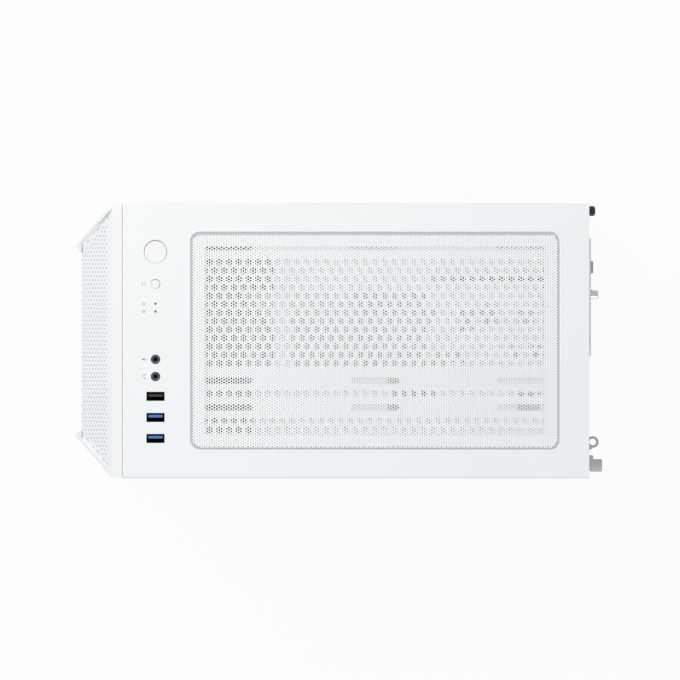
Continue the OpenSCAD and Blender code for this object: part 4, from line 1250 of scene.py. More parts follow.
@dataclass
class Controls:
    """Buttons, lights and sockets of the control strip, with the signs printed beside them.

    Attributes:
        row_x: Distance of their row from the front in millimetres, as for case().
        sign_x: The same for the signs.
        power_y: Place of the power button across the roof, as are the next five.
        reset_y: Reset button.
        light_ys: Power and drive light.
        jack_ys: Microphone and headphone socket.
        black_y: Black socket.
        blue_ys: Blue sockets.
        mouth: Length and width of a flat socket's bezel.
    """

    row_x: float = 62.9
    sign_x: float = 53.7
    power_y: float = 69.7
    reset_y: float = 44.6
    light_ys: tuple[float, float] = (29.1, 23.0)
    jack_ys: tuple[float, float] = (-14.4, -27.8)
    black_y: float = -43.3
    blue_ys: tuple[float, float] = (-59.8, -76.2)
    mouth: Point2 = (14.0, 6.9)

    def button(
        self, name: str, y: float, radius: float, top: float, stem: float, play: Point2
    ) -> None:
        """Makes a button with a faint ring pressed into its cap.

        Args:
            name: The node and body that it stands for.
            y: Its place across the roof.
            radius: Radius of its cap.
            top: Height of its top.
            stem: Radius of its stem.
            play: How far it rests from the middle of its hole.
        """
        ring, skirt, face = radius * 0.72, radius + 0.7, top - 0.03
        profile = [(0, 448), (stem, 448), (stem, 457.2), (skirt, 457.2), (skirt, 458.4)]
        profile += [(radius, 458.4)] + arc((radius - 0.4, top - 0.4), 0.4, 0, 90, 6)
        profile += [(ring + 0.45, top), (ring + 0.3, top), (ring, top - 0.08)]
        profile += [(r, face) for r in (ring - 0.3, ring - 0.45, 0.5, 0)]
        centre = case(self.row_x + play[0], y + play[1], 0)
        shape = Shape().lathe(Axis.Z, centre, profile, 96)
        shape.piece(f"{name}_cap", Look.plastic, name, [name])

    def jacks(self) -> None:
        """Makes the two round audio sockets."""
        shape = Shape()
        for y in self.jack_ys:
            profile = [(1.8, 446.1), (1.8, 459.5), (2.3, 459.95), (3.1, 460.08), (3.45, 460.0)]
            profile += [(3.65, 459.7), (3.65, 458.7), (4.4, 458.6), (4.4, 446.1)]
            shape.lathe(Axis.Z, case(self.row_x, y, 0), profile, 64, closed=True)
            shape.box((self.row_x - 4.5, y - 4.5, 441.6), (self.row_x + 4.5, y + 4.5, 446.0))
        shape.piece("jack_collars", Look.collar, "chassis", ["audio_jacks"])

    def socket(
        self, name: str, ys: Sequence[float], node: str, finish: Finish, lean: float
    ) -> None:
        """Makes sockets with a bezel, a lining painted near-black as the shade inside them, and a
        tongue.

        Args:
            name: Start of the names of the pieces.
            ys: Places across the roof.
            node: The node that they stand for.
            finish: Finish of the tongue.
            lean: How far the tongue is from the middle, towards the window side.
        """
        bezel, tongue, contacts = Shape(), Shape(), Shape()
        width, height = self.mouth
        for y in ys:
            outer = self.outline(y, width, height, 0.5)
            inner = self.outline(y, width - 1.1, height - 1.1, 0.35)
            bottom = self.outline(y, width - 0.6, height - 0.6, 0.3)
            bezel.prism(Axis.Z, outer, 442 * MM, 459.8 * MM, [inner])
            bezel.prism(Axis.Z, bottom, 441.6 * MM, 443.6 * MM)
            side, reach = y + lean, width / 2 - 1.3
            tongue.box((self.row_x - reach, side, 443), (self.row_x + reach, side + 2.1, 458.9))
            for k in range(4):
                x = self.row_x - 3.6 + 2.4 * k
                contacts.box((x - 0.45, side - 0.12, 446), (x + 0.45, side + 0.1, 457.6))
        bezel.piece(f"{name}_bezels", Look.pit, "chassis", [node], 0.12)
        tongue.piece(f"{name}_tongues", finish, bevel=0.2)
        contacts.piece(f"{name}_contacts", Look.gold)

    def outline(self, y: float, width: float, height: float, radius: float) -> list[Point2]:
        """Outline of a socket with round corners, round its place in the row."""
        (a, b), x = (width / 2, height / 2), self.row_x
        return plate((x - a, x + a), (y - b, y + b), radius, 4)

    def signs(self) -> None:
        """Prints the pictograms beside the reset button, lights and audio sockets."""
        shape = Shape()
        low, high = Tower.roof_z - 0.01 * MM, Tower.roof_z + 0.03 * MM

        def draw(y: float, *rings: Sequence[Point2]) -> None:
            """Adds an outline and its holes, in millimetres round a sign's centre."""
            x0, y0, _ = case(self.sign_x, y, 0)
            placed = [[(x0 + a * MM, y0 + b * MM) for a, b in ring] for ring in rings]
            shape.prism(Axis.Z, placed[0], low, high, placed[1:])

        for turn in (0, 180):
            draw(self.reset_y, band(arc((0, 0), 1.25, turn - 62, turn + 62, 12), 0.42))
        draw(self.light_ys[0], band(arc((0, 0), 0.95, -230, 50, 16), 0.32))
        draw(self.light_ys[0], band([(0.0, 0.25), (0.0, 1.25)], 0.32))
        draw(self.light_ys[1], circle(1.1, 24), circle(0.78, 24))
        draw(self.light_ys[1], circle(0.32, 12))
        microphone, phones = self.jack_ys
        draw(microphone, round_box((-1.5, -0.55), (0.5, 0.55), 0.54, 5))
        draw(microphone, band(arc((-0.25, 0), 1.2, -78, 78, 14), 0.28))
        draw(microphone, band([(0.95, 0), (1.75, 0)], 0.28))
        draw(microphone, band([(1.75, -0.7), (1.75, 0.7)], 0.28))
        draw(phones, band(arc((0.35, 0), 1.45, 98, 262, 16), 0.3))
        for side in (-1, 1):
            draw(phones, round_box((0.15, side * 1.4 - 0.38), (1.5, side * 1.4 + 0.38), 0.3, 4))
        shape.piece("printed_signs", Look.ink)

    def build(self) -> None:
        """Makes every control."""
        self.button("power_button", self.power_y, 8.65, 460.2, 4.0, (0.0, -0.45))
        self.button("reset_button", self.reset_y, 3.4, 460.1, 2.0, (-0.24, -0.28))
        self.jacks()
        self.socket("usb_black", [self.black_y], "usb2_port", Look.black, -0.3)
        self.socket("usb_blue", self.blue_ys, "usb3_ports", Look.blue, 0.0)
        self.signs()
        dress("led_light_pipes", Look.lens, 0.15)
        dress("io_board", Look.flat_board)


# ------------------------------------------------------------------ screws and rear trim


@dataclass
class Fasteners:
    """Thumbscrews and the stud at the rear.

    Attributes:
        teeth: Number of flutes round a head.
        screw_zs: Heights of the panels' lower and upper screws in millimetres.
        tray_y: Place of the tray-side panel's screws across the case.
        window_y: Place of the window panel's screws.
        clamp_z: Height of the slot clamp's screw and of the stud.
        clamp_y: Place of the slot clamp's screw.
        stud_y: Place of the stud.
    """

    teeth: int = 24
    screw_zs: Point2 = (84.0, 392.0)
    tray_y: float = -98.0
    window_y: float = 102.2
    clamp_z: float = 236.0
    clamp_y: float = 59.0
    stud_y: float = 37.3

    def ring(self, centre: Vector, radius: float, cut: float) -> list[Vector]:
        """A toothed ring across X.

        Args:
            centre: The ring's centre.
            radius: Radius at the teeth's tips.
            cut: Depth of the gaps between them.

        Returns:
            The ring's points.
        """
        count = self.teeth * 4
        points = []
        for k in range(count):
            r = (radius - (cut if k % 4 > 1 else 0.0)) * MM
            turn = 2 * math.pi * (k + 0.5) / count
            points.append(centre + Vector((0, r * math.cos(turn), r * math.sin(turn))))
        return points

    def knurled(
        self, shape: Shape, x0: float, x1: float, y: float, z: float, radius: float
    ) -> None:
        """Adds a fluted head with a cross recess in a dished face.

        Args:
            shape: The shape that it joins.
            x0: Where the head starts.
            x1: Where it ends.
            y: Its centre's place across.
            z: Its centre's height.
            radius: Its radius.
        """
        steps = [(x0, radius - 0.6, 0), (x0 + 0.5, radius, 0.34), (x1 - 0.6, radius, 0.34)]
        steps += [(x1, radius - 0.7, 0), (x1, radius - 1.3, 0), (x1 - 0.7, radius - 1.8, 0)]
        steps += [(x0, radius - 1.8, 0)]
        shape.loft([self.ring(case(x, y, z), r, cut) for x, r, cut in steps], closed=True)
        long, short = radius * 0.48, radius * 0.12
        hole = []
        for quarter in range(4):
            cos, sin = math.cos(quarter * math.pi / 2), math.sin(quarter * math.pi / 2)
            for a, b in ((long, -short), (long, short), (short, short)):
                hole.append(((y + a * cos - b * sin) * MM, (z + a * sin + b * cos) * MM))
        disc = circle((radius - 1.6) * MM, 48, (y * MM, z * MM))
        ends = [case(x, 0, 0).x for x in (x0 + 0.1, x1 - 2.4, x1 - 0.75)]
        shape.prism(Axis.X, disc, ends[1], ends[2], [hole])
        shape.prism(Axis.X, disc, ends[0], ends[1])

    def rod(self, shape: Shape, x0: float, x1: float, y: float, z: float, radius: float) -> None:
        """Adds a round rod along X with chamfered ends."""
        inner = radius - 0.3
        profile = [(0, x0), (inner, x0), (radius, x0 + 0.3)]
        profile += [(radius, x1 - 0.3), (inner, x1), (0, x1)]
        shape.lathe(Axis.X, case(0, y, z), profile, 40)

    def build(self) -> None:
        """Makes every fastener."""
        for end, z in zip(("lower", "upper"), self.screw_zs):
            shape = Shape()
            self.knurled(shape, 403.7, 413.2, self.tray_y, z, 5)
            self.rod(shape, 401.8, 403.95, self.tray_y, z, 4)
            self.rod(shape, 390, 403.9, self.tray_y, z, 2.15)
            node = f"tray_panel_screw_{end}"
            # The white head is coloured mid grey: painted shade on its fluted sides.
            shape.piece(f"{node}_head", Look.knob, node, [node])
            node = f"window_screw_{end}"
            profile = [(0, 401.8), (3.5, 401.8), (3.9, 402.2)] + arc((2.0, 405.9), 2.0, 0, 62, 9)
            profile += [(1.6, 408.0), (0, 408.05)]
            shape = Shape().lathe(Axis.X, case(0, self.window_y, z), profile, 64)
            self.rod(shape, 390, 402.0, self.window_y, z, 1.65)
            shape.piece(f"{node}_knob", Look.gloss, node, [node])
        shape = Shape()
        self.knurled(shape, 403.9, 409.7, self.clamp_y, self.clamp_z, 5)
        self.rod(shape, 403.6, 404.3, self.clamp_y, self.clamp_z, 2.9)
        shape.piece("slot_clamp_screw_head", Look.grey, "slot_clamp_screw", ["slot_clamp_screw"])
        profile = [(0, 403.5), (3.85, 403.5), (3.85, 404.2), (3.5, 404.4), (3.5, 404.8)]
        profile += [(3.85, 405.0), *arc((2.35, 412.5), 1.5, 0, 90, 9), (0, 414.0)]
        shape = Shape().lathe(Axis.X, case(0, self.stud_y, self.clamp_z), profile, 64)
        shape.piece("polished_stud", Look.chrome, "chassis", ["slot_clamp_stud"])
        dress("padlock_loop", Look.zinc, 0.2)
        dress("slot_clamp", Look.steel, 0.25)


# ------------------------------------------------------------------ fans


@dataclass
class Rotor:
    """Fan rotor with curved blades, drawn along its axis from its intake side.

    Attributes:
        body: The body and node that it stands for.
        axis: The axis that it turns round.
        origin: A point of the axis, from which heights count.
        tip: Radius of the blades' tips in millimetres. So are the lengths below.
        blades: Number of blades.
        low: Height of the hub's face.
        high: Height of the blades' far edge.
        hub: Radius of the hub.
        root_reach: Angle that a blade covers at its root, in degrees.
        tip_reach: The same at its tip.
        lean: Angle by which the tip is turned past the root.
        end: Height of the axle's end.
        sections: Stretches between a blade's root and its tip.
        chord_steps: Stretches along a section.
    """

    body: str
    axis: Axis
    origin: Vector
    tip: float
    blades: int
    low: float = 5.0
    high: float = 20.0
    hub: float = 19.0
    root_reach: float = 38.0
    tip_reach: float = 40.0
    lean: float = 18.0
    end: float = 24.5
    sections: int = 7
    chord_steps: int = 9

    def spot(self, radius: float, turn: float, height: float) -> Vector:
        """A point from its radius, its angle in degrees and its height."""
        t = math.radians(turn)
        first, second = radius * math.cos(t), radius * math.sin(t)
        return self.origin + self.axis.point(first, second, height) * MM

    def blade(self, turn: float) -> list[list[Vector]]:
        """Sections of one blade from its root to its tip.

        Args:
            turn: Its angle round the axis in degrees.

        Returns:
            The sections as rings.
        """
        rings = []
        depth = self.high - self.low - 2.6
        for k in range(self.sections + 1):
            share = k / self.sections
            radius = self.hub - 0.6 + (self.tip - self.hub + 0.6) * share
            reach = self.root_reach + (self.tip_reach - self.root_reach) * share
            fall = 1 - 0.28 * share
            over, under = [], []
            for m in range(self.chord_steps + 1):
                t = m / self.chord_steps
                angle = turn + self.lean * share**1.6 + reach * (t - 0.5)
                arch = math.sin(math.pi * t)
                rise = self.low + 1.3 + depth * (0.5 + (t - 0.5) * fall + 0.10 * arch)
                half = 0.25 + 0.5 * arch**0.7
                over.append(self.spot(radius, angle, rise + half))
                under.append(self.spot(radius, angle, rise - half))
            rings.append(over + under[::-1])
        return rings

    def build(self, finish: Finish) -> None:
        """Makes the rotor.

        Args:
            finish: Its finish.
        """
        shape = Shape()
        dish = self.low + 0.3
        profile = [(0, dish), (self.hub * 0.72, dish), (self.hub * 0.76, self.low)]
        profile += arc((self.hub - 2.0, self.low + 2.0), 2.0, -90, 0, 7)
        profile += [(self.hub, self.high), (1.45, self.high), (1.45, self.end), (0, self.end)]
        shape.lathe(self.axis, self.origin, profile, 72)
        for k in range(self.blades):
            shape.loft(self.blade(k * 360 / self.blades))
        shape.piece(f"{self.body}_blades", finish, self.body, [self.body], crease=50)


@dataclass
class Fans:
    """All seven fans, from the places of their intake sides, as for case()."""

    front: tuple = ((39, 0, 182), (39, 0, 324))
    rear: tuple = (374.4, 34, 385)
    cooler: tuple = (218, 17, 345)
    card: tuple = ((190, -12, 193.88), (288, -12, 193.88))
    supply: tuple = (329, 0, 24)

    def build(self) -> None:
        """Makes the rotors and dresses the frames."""
        for number, place in enumerate(self.front, 1):
            name = f"front_fan_rotor_{number}"
            Rotor(name, Axis.X, case(*place), 65.0, 7).build(Look.rotor)
        for name, place in (("rear_fan_rotor", self.rear), ("cooler_fan_rotor", self.cooler)):
            Rotor(name, Axis.X, case(*place), 56.0, 7).build(Look.rotor)
        sizes = {"low": 3.5, "high": 18.5, "root_reach": 26, "tip_reach": 27, "end": 26}
        for number, place in enumerate(self.card, 1):
            name = f"graphics_fan_rotor_{number}"
            Rotor(name, Axis.Z, case(*place), 42.0, 11, **sizes).build(Look.rotor)
        sizes = {"low": 3.0, "high": 20.0, "tip_reach": 32, "end": 26.5}
        Rotor("psu_fan_rotor", Axis.Z, case(*self.supply), 55.0, 9, **sizes).build(Look.black)
        dress(("front_fan_frames", "rear_fan_frame", "cooler_fan_frame"), Look.plastic, 0.3)


# ------------------------------------------------------------------ boards and what they carry


@dataclass
class Mainboard:
    """Small components of the main board.

    Attributes:
        face_y: The board's face, as for case().
        seed: Start of the random placing of the smallest chips.
        small_chips: How many of them there are.
        loose_cans: Places of single capacitors along X and Z.
        large_chips: Centres and sizes of larger chips along X and Z.
    """

    face_y: float = -76.0
    seed: int = 7
    small_chips: int = 150
    loose_cans: tuple = (
        (380, 150), (380, 160), (380, 170), (368, 146), (362, 170), (356, 182), (380, 196),
        (236, 262), (244, 262), (170, 262), (178, 262), (232, 206), (232, 216),
    )
    large_chips: tuple = (
        (368, 158, 9, 9), (372, 214, 12, 7), (300, 272, 10, 10), (316, 272, 6, 6),
        (372, 236, 8, 8), (246, 146, 12, 8), (262, 146, 7, 7), (352, 140, 9, 9),
        (160, 380, 7, 10), (170, 424, 7, 5), (220, 424, 9, 6), (366, 256, 14, 8),
    )

    def can(self, shape: Shape, x: float, z: float, radius: float, height: float) -> None:
        """Adds a capacitor can that stands on the board."""
        y0, y1 = self.face_y, self.face_y + height
        profile = [(0, y0), (radius, y0), (radius, y0 + 0.9), (radius - 0.25, y0 + 1.2)]
        profile += [(radius, y0 + 1.5), (radius, y1 - 0.4), (radius - 0.4, y1), (0, y1 - 0.1)]
        shape.lathe(Axis.Y, case(x, 0, z), profile, 24)

    def brick(self, shape: Shape, x: float, z: float, size: Sequence[float]) -> None:
        """Adds a block on the board, from its centre and its size along X, Y and Z."""
        half_x, half_z = size[0] / 2, size[2] / 2
        low = (x - half_x, self.face_y, z - half_z)
        shape.box(low, (x + half_x, self.face_y + size[1], z + half_z))

    def build(self) -> None:
        """Makes the components and dresses the board."""
        chance = random.Random(self.seed)
        cans, chokes, chips, slots = Shape(), Shape(), Shape(), Shape()
        # A row over the processor and a column behind it, then what stands by itself.
        for k in range(7):
            self.brick(chokes, 236 + 11 * k, 401, (8.4, 5.6, 7.2))
            self.can(cans, 238 + 10.5 * k, 389, 2.6, 8)
        for k in range(8):
            self.brick(chokes, 330, 306 + 11 * k, (7.2, 5.6, 8.4))
            self.can(cans, 320.5, 302 + 11 * k, 2.6, 8)
        for x, z in self.loose_cans:
            self.can(cans, x, z, 2.5, 7)
        for x, z, width, height in self.large_chips:
            self.brick(chips, x, z, (width, 1.2, height))
        for _ in range(self.small_chips):
            x, z = chance.uniform(158, 392), chance.uniform(138, 426)
            flat = chance.random() < 0.5
            self.brick(chips, x, z, (2.2, 0.8, 1.2) if flat else (1.2, 0.8, 2.2))
        for z in (218, 230, 242):
            self.brick(slots, 161, z, (14, 12, 9))
        for x in (238, 262, 286, 310, 334):
            self.brick(slots, x, 133, (18, 7.5, 5.4))
        cans.piece("board_capacitors", Look.tin)
        chokes.piece("board_chokes", Look.chip, bevel=0.5)
        chips.piece("board_chips", Look.chip, bevel=0.15)
        slots.piece("board_headers", Look.black, bevel=0.3)
        self.covers()
        dress("motherboard", Look.board, 0.1)
        dress("board_standoffs", Look.brass)
        dress("board_heatsinks", Look.fins, 0.4)
        dress("memory_modules", Look.plastic, 0.3)

    def covers(self) -> None:
        """Makes the drive covers, the battery and the dark slot bodies over the board."""
        shape = Shape()
        for z in (214, 173.7):
            shape.box((250, self.face_y, z - 10), (342, self.face_y + 4.6, z + 10))
            for k in range(6):
                x = 262 + 7 * k
                shape.box((x, self.face_y + 4.4, z - 8.5), (x + 2.4, self.face_y + 5.4, z + 8.5))
        shape.box((174, self.face_y + 7.8, 154), (220, self.face_y + 9.2, 198))
        shape.piece("drive_covers", Look.fins, bevel=0.4)
        battery = Shape()
        profile = [(0, -76), (10, -76), (10, -73.2), (9.4, -72.6), (0, -72.6)]
        battery.lathe(Axis.Y, case(236, 0, 184), profile, 48)
        battery.piece("coin_battery", Look.tin)
        metal = Shape()
        for i in (1, 3, 5):
            z = 255 - 20.32 * i
            metal.box((249.6, self.face_y, z - 4), (340.4, self.face_y + 4.2, z - 3.5))
            metal.box((249.6, self.face_y, z + 3.5), (340.4, self.face_y + 4.2, z + 4))
        metal.piece("slot_armour", Look.tin)


@dataclass
class RearPorts:
    """What shows in the mouths of the rear port block, in millimetres as for case().

    Attributes:
        low_z: Lower end of the block, from which the heights below count.
        usb_ys: Sides of the two columns of flat sockets.
        usb_zs: Heights of the flat sockets, of which the upper half are blue.
        screen_zs: Heights of the two screen sockets.
        network_z: Height of the network socket.
        jack_ys: Columns of audio sockets.
        jack_zs: Their heights.
        ring: Section of a ring round an audio socket: radius, and place from the front.
    """

    low_z: float = 272.0
    usb_ys: Point2 = (-70.0, -58.0)
    usb_zs: tuple[float, ...] = (12.0, 29.0, 46.0, 63.0)
    screen_zs: Point2 = (106.0, 122.0)
    network_z: float = 84.0
    jack_ys: tuple[float, ...] = (-68.0, -55.0, -42.0)
    jack_zs: Point2 = (138.0, 146.0)
    ring: tuple[Point2, ...] = (
        (1.8, 397.6), (1.8, 399.0), (2.1, 399.25), (3.0, 399.25), (3.2, 399.0), (3.2, 397.6),
    )

    def build(self) -> None:
        """Makes the tongues and rings, and dresses the block."""
        blue, black, rings = Shape(), Shape(), Shape()
        for i, height in enumerate(self.usb_zs):
            z = self.low_z + height
            for y in self.usb_ys:
                side = blue if i > 1 else black
                side.box((386, y + 3.1, z + 1.6), (397.6, y + 4.7, z + 11.4))
        z = self.low_z + self.network_z
        black.box((386, -66, z + 11), (397, -56, z + 13))
        for height in self.screen_zs:
            z = self.low_z + height
            black.box((386, -69.6, z + 3), (397.8, -66.4, z + 11))
        for y in self.jack_ys:
            for height in self.jack_zs:
                centre = case(0, y, self.low_z + height)
                rings.lathe(Axis.X, centre, self.ring, 36, closed=True)
        blue.piece("rear_blue_tongues", Look.blue, bevel=0.2)
        black.piece("rear_black_tongues", Look.black, bevel=0.2)
        rings.piece("rear_jack_rings", Look.collar)
        dress("rear_port_block", Look.zinc, 0.15)


@dataclass
class GraphicsCard:
    """Trim of the graphics card, with lengths in millimetres and places as for case().

    Attributes:
        contacts: Number of contacts along its lower edge.
        contact_x: Front end of the first contact.
        contact_pitch: Distance between contacts.
        pins: Number of columns in the power socket.
        socket_x: Front end of the power socket.
        plate_xs: Ends of the back plate along X.
        plate_ys: Its ends along Y.
        plate_zs: Its two faces.
        slots: Number of slots in it.
        slot_pitch: Distance between slots.
        screws: Places of its screws along X and Y.
        screw: Section of a screw: radius and height.
    """

    contacts: int = 40
    contact_x: float = 254.0
    contact_pitch: float = 2.1
    pins: int = 6
    socket_x: float = 338.0
    plate_xs: Point2 = (140.0, 392.0)
    plate_ys: Point2 = (-62.0, 38.5)
    plate_zs: Point2 = (236.3, 237.5)
    slots: int = 9
    slot_pitch: float = 7.0
    screws: tuple[Point2, ...] = ((150, -50), (150, 28), (382, -50), (382, 28), (266, 28))
    screw: tuple[Point2, ...] = ((0, 235.6), (2.2, 235.6), (2.2, 238.2), (0, 238.6))

    def back(self) -> None:
        """Makes the back plate with its slots and screws."""
        slots = []
        for k in range(self.slots):
            x = self.plate_xs[0] + 20 + self.slot_pitch * k
            slots.append(plate((x, x + 3.5), (-30, 10), 1.7, 4))
        low, high = (z * MM for z in self.plate_zs)
        shape = Shape().prism(Axis.Z, plate(self.plate_xs, self.plate_ys, 3), low, high, slots)
        for x, y in self.screws:
            shape.lathe(Axis.Z, case(x, y, 0), self.screw, 20)
        shape.piece("card_back_plate", Look.steel, bevel=0.2)

    def build(self) -> None:
        """Makes the back plate, contacts and power socket, and dresses the card's parts."""
        self.back()
        gold, plug = Shape(), Shape()
        for k in range(self.contacts):
            x = self.contact_x + self.contact_pitch * k
            gold.box((x, -70.8, 233.8), (x + 1.3, -64.5, 235.6))
        plug.box((self.socket_x, 33, 218), (self.socket_x + 20, 40.6, 232))
        for k in range(self.pins):
            x = self.socket_x + 1.6 + 3 * k
            plug.box((x, 40.4, 220), (x + 1.8, 41.4, 230))
        gold.piece("card_contacts", Look.gold)
        plug.piece("card_power_socket", Look.black, bevel=0.25)
        dress("graphics_card_board", Look.flat_board)
        dress("graphics_card_heatsink", Look.aluminium)
        dress("graphics_card_shroud", Look.plastic, 0.4)
        dress("graphics_card_bracket", Look.zinc, 0.1)


@dataclass
class Cooler:
    """Processor cooler, with places in millimetres as for case().

    Attributes:
        pipe_xs: Places of its heat pipes.
        pipe_zs: Heights of a pipe's two ends.
        tip: Section of a pipe's tip: radius, and place across the case.
    """

    pipe_xs: tuple[float, ...] = (256, 266, 276, 286)
    pipe_zs: Point2 = (327, 363)
    tip: tuple[Point2, ...] = (
        (0, 67.9), (3.0, 67.9), (2.9, 69.2), (1.8, 70.6), (0.9, 71.2), (0, 71.4),
    )

    def build(self) -> None:
        """Makes the caps of its heat pipes and dresses it."""
        caps = Shape()
        for x in self.pipe_xs:
            for z in self.pipe_zs:
                caps.lathe(Axis.Y, case(x, 0, z), self.tip, 24)
        caps.piece("heat_pipe_tips", Look.nickel)
        dress("cooler_heat_pipes", Look.nickel, 0.2)
        dress("cooler_fins", Look.fins)


# ------------------------------------------------------------------ cables


@dataclass
class Wiring:
    """Cables inside the case, from the points that they pass through, as for case().

    Attributes:
        power: Middle of the bundle from the power supply.
        panel: The lead from the front board.
        roof: Radius and points of each lead of the control strip.
    """

    power: tuple = (
        (262, -20, 72), (246, -30, 72), (238, -50, 74), (236, -74, 76), (235, -90, 84),
        (228, -95, 104), (205, -96, 150), (170, -96, 220), (140, -94, 300), (131, -89, 332),
        (131, -76, 338), (140, -68, 340), (154.8, -68.2, 340),
    )
    panel: tuple = (
        (63, 4, 431.4), (63, 2, 424), (70, -10, 416), (82, -40, 400), (88, -66, 370),
        (90, -76, 300), (90, -78, 220), (100, -78, 160), (130, -76, 142), (160, -70, 136),
        (174.6, -71.5, 133),
    )
    roof: tuple = (
        (2.6, (
            (76, 62, 436), (90, 60, 446), (108, 56, 449), (126, 42, 449), (152, 5, 446),
            (160, -24, 436), (166, -58, 424), (170, -70, 418),
        )),
        (2.0, (
            (76, 54, 436), (92, 52, 446), (110, 50, 446), (124, 40, 445), (148, 6, 441),
            (157, -26, 430), (163, -60, 418), (167, -70, 412),
        )),
        (2.0, (
            (76, 46, 436), (92, 45, 445), (108, 44, 446), (121, 36, 442), (138, 12, 430),
            (152, -26, 415), (160, -60, 408), (164, -70, 406),
        )),
        (3.0, (
            (66, -64, 430), (80, -64, 438), (98, -66, 447), (110, -70, 444), (116, -77, 420),
            (122, -79, 370), (128, -88, 350), (132, -93, 320),
        )),
    )

    def route(self, spots: Sequence[Sequence[float]]) -> list[Vector]:
        """A smooth path through points of the case."""
        return smooth_path([case(*spot) for spot in spots], 6)

    def build(self) -> None:
        """Makes the bundle of power leads, the leads of the control strip and a plug."""
        leads = Shape()
        for radius, spots in self.roof:
            leads.tube(self.route(spots), radius * MM, 12)
        # The leads are real and black. Under the front vents their black also stands in for the
        # shade deep in the case.
        leads.piece("roof_leads", Look.black)
        bundle = Shape()
        for offset in [(0.0, 0.0), *circle(2.62 * MM, 6)]:
            strand = [ring[0] for ring in swept(self.route(self.power), [offset])]
            bundle.tube(strand, 1.28 * MM)
        bundle.piece("power_lead_bundle", Look.sleeve, replaces=["internal_cables"])
        lead = Shape().tube(self.route(self.panel), 2.1 * MM, 14)
        lead.piece("panel_lead", Look.sleeve, replaces=["internal_cables"])
        plug = Shape()
        plug.box((148, -73.5, 302), (155, -65, 350))
        for k in range(12):
            z = 303.2 + 4 * k
            for low_y, high_y in ((-72.9, -69.8), (-69.0, -65.8)):
                plug.box((147.2, low_y, z), (148.4, high_y, z + 2.6))
        plug.piece("power_plug", Look.cream, bevel=0.3)


# ------------------------------------------------------------------ case


@dataclass
class Chassis:
    """Sheet steel of the case, its panels, drives and power supply.

    Attributes:
        rail_z: Underside of the plates under the roof, in millimetres.
        fold_drop: Depth of the fold at one plate's edge.
        plates: Ends along X and Y of each plate, and of its openings, as for case().
    """

    rail_z: float = 456.4
    fold_drop: float = 6.0
    plates: tuple = (
        ((139, 368), (-84, -21), (((244, 282), (-60, -26)), ((346, 363), (-60, -40)))),
        ((155, 168.5), (-20.8, 96), ()),
        ((168.7, 274), (40, 76), ()),
        ((274.2, 371), (-20.8, 76), (
            ((276.5, 367), (47, 53)), ((276.5, 281.5), (12, 26)), ((300, 312), (8, 26)),
            ((316, 330), (12, 28)), ((345, 359), (12, 25)), ((277.5, 292), (-19, -8.5)),
            ((295, 304), (-17, -9)), ((341, 346), (-16, -2)), ((357, 364), (-17, -3)),
        )),
    )

    def rails(self) -> None:
        """Makes the plates under the roof that fans can be screwed to, with their openings."""
        shape = Shape()
        low, high = self.rail_z * MM, (self.rail_z + 1) * MM
        for xs, ys, gaps in self.plates:
            shape.prism(Axis.Z, plate(xs, ys, 1.5), low, high, [plate(*gap, 2.0) for gap in gaps])
        xs, ys, _ = self.plates[0]
        fold = plate(xs, (ys[1] - 1, ys[1]), 0.3)
        shape.prism(Axis.Z, fold, low - self.fold_drop * MM, low)
        shape.piece("roof_rails", Look.steel, bevel=0.2)

    def build(self) -> None:
        """Dresses the steel, the panels and what is bolted in."""
        self.rails()
        (x0, _, z0), (x1, _, z1) = case(66, 0, 54), case(366, 0, 424)
        tint = (0.03, 0.033, 0.036)
        pane = {"low": (x0, z0), "high": (x1, z1)}
        glass = Glazing("bordered_glass", "window_glass", tint, 0.03, **pane)
        dress("window_glass", glass, 0.5)
        dress(("top_cover", "rear_wall"), Look.steel)
        dress(("tray_panel", "window_frame", "base_pan", "slot_covers"), Look.steel, 0.15)
        # Parts inside take the darker copy of the white coat: painted shade of the dim interior.
        dress(("motherboard_tray", "front_bracket", "drive_cage"), Look.inner_steel_shaded, 0.15)
        # The shroud is coloured near-black as painted shade deep in the case.
        dress("psu_shroud", Look.shroud_shade, 0.15)
        dress("power_supply_case", Look.inner_steel_shaded, 0.3)
        dress("feet", Look.plastic, 0.6)
        dress("rubber_pads", Look.rubber, 0.3)
        dress("psu_filter", Look.mesh, 0.2)
        dress(("power_inlet", "psu_switch"), Look.black, 0.3)
        dress("hard_drive", Look.aluminium, 0.4)
        dress("solid_state_drive", Look.black, 0.4)


# ------------------------------------------------------------------ studio


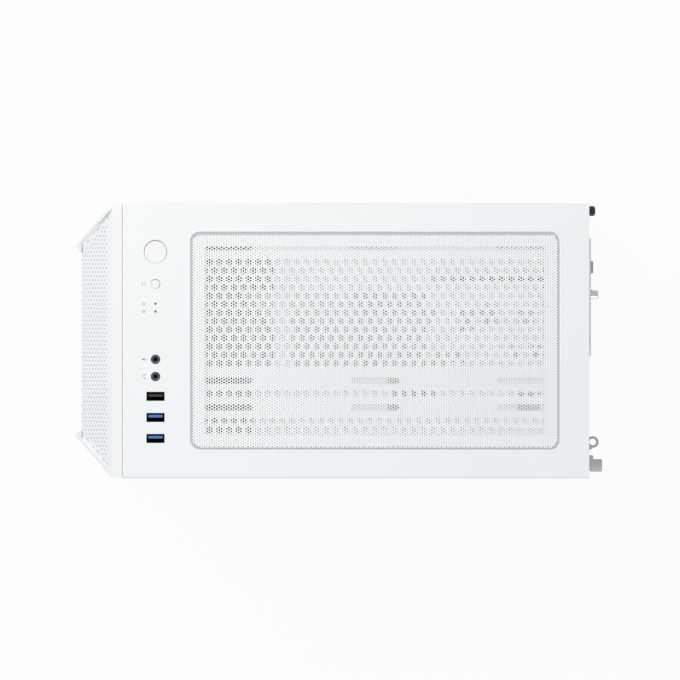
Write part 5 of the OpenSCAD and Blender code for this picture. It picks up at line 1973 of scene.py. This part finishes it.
@dataclass
class Studio:
    """Floor, lamps, background and camera.

    Attributes:
        lens: Focal length in millimetres.
        view_width: Width of the view at the roof in metres.
        view_centre: Point of the roof in the middle of the view.
        floor_half: Half the floor's width.
        shadow_share: Share of the shadow that shows on the floor.
        room_light: Strength of the light from all round.
    """

    lens: float = 600.0
    view_width: float = 0.5311
    view_centre: Point2 = (0.0, 0.0007)
    floor_half: float = 6.0
    shadow_share: float = 0.06
    room_light: float = 0.61

    def camera(self) -> None:
        """Hangs the camera over the roof."""
        data = bpy.data.cameras.new("camera")
        data.lens = self.lens
        data.sensor_width = 36.0
        data.clip_end = 100.0
        made = link("camera", data)
        distance = self.view_width * self.lens / data.sensor_width
        made.location = (*self.view_centre, Tower.roof_z + distance)
        bpy.context.scene.camera = made

    def white_for_camera(self, graph: Graph) -> Signal:
        """1 for rays that show the background: from the camera, a mirror or a pane."""
        rays = graph.node("ShaderNodeLightPath")
        camera, mirror, pane = (
            Signal(graph, rays.outputs[f"Is {kind} Ray"])
            for kind in ("Camera", "Glossy", "Transmission")
        )
        return camera + mirror + pane

    def floor(self) -> None:
        """Lays a pale floor that looks white and keeps the shadow."""
        graph = Graph(bpy.data.materials.new("pale_floor"))
        seen = self.white_for_camera(graph) * (1 - self.shadow_share)
        grain = graph.noise(3 * MM)
        grey = graph.mix(grain, (0.80, 0.80, 0.80), (0.82, 0.82, 0.82))
        plain = graph.output("ShaderNodeBsdfDiffuse", {}, {"Color": grey})
        light = graph.output("ShaderNodeEmission", {}, {"Color": (1, 1, 1, 1), "Strength": 1.0})
        both = graph.output("ShaderNodeMixShader", {}, {0: seen, 1: plain, 2: light})
        graph.node("ShaderNodeOutputMaterial", {}, {"Surface": both})
        mesh = bpy.data.meshes.new("floor")
        half = self.floor_half
        corners = [(-half, -half, 0), (half, -half, 0), (half, half, 0), (-half, half, 0)]
        mesh.from_pydata(corners, [], [(0, 1, 2, 3)])
        mesh.materials.append(graph.owner)
        link("floor", mesh)

    def background(self) -> None:
        """Sets a soft even light that the camera sees as white."""
        world = bpy.data.worlds.new("studio_world")
        bpy.context.scene.world = world
        graph = Graph(world)
        seen = graph.signal("ShaderNodeLightPath", name="Is Camera Ray")
        strength = seen * (1 - self.room_light) + self.room_light
        inputs = {"Color": (0.94, 0.985, 1.0, 1.0), "Strength": strength}
        shade = graph.output("ShaderNodeBackground", {}, inputs)
        graph.node("ShaderNodeOutputWorld", {}, {"Surface": shade})

    def lamp(
        self, name: str, place: Sequence[float], size: float, power: float, colour: Colour
    ) -> None:
        """Hangs a square soft lamp that points at the tower's middle.

        Args:
            name: The lamp's name.
            place: Where it hangs.
            size: Length of its sides.
            power: Its power in watts.
            colour: Its colour.
        """
        data = bpy.data.lights.new(name, "AREA")
        data.size = size
        data.energy = power
        data.color = colour
        made = link(name, data)
        made.location = place
        target = Vector((0.0, 0.0, 0.3))
        made.rotation_euler = (target - Vector(place)).to_track_quat("-Z", "Y").to_euler()
        made.visible_camera = False

    def build(self) -> None:
        """Makes the whole studio."""
        bpy.context.scene.view_settings.view_transform = "Standard"
        self.camera()
        self.floor()
        self.background()
        self.lamp("key_lamp", (-0.8, 0.9, 2.1), 0.9, 21.3, (1.0, 0.945, 0.94))
        self.lamp("fill_lamp", (0.5, -1.9, 1.0), 1.6, 8, (0.94, 0.97, 1.0))


def main() -> None:
    """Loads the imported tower, dresses it and sets up the studio."""
    logging.basicConfig(level=logging.INFO, format="%(message)s")
    for old in list(bpy.data.objects):
        bpy.data.objects.remove(old)
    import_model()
    Studio().build()
    for assembly in (
        Chassis(), FrontPanel(), RoofFilter(), Controls(), Fasteners(), Fans(),
        Mainboard(), RearPorts(), GraphicsCard(), Cooler(), Wiring(),
    ):
        LOG.info("-- %s", type(assembly).__name__)
        assembly.build()


if __name__ == "__main__":
    main()
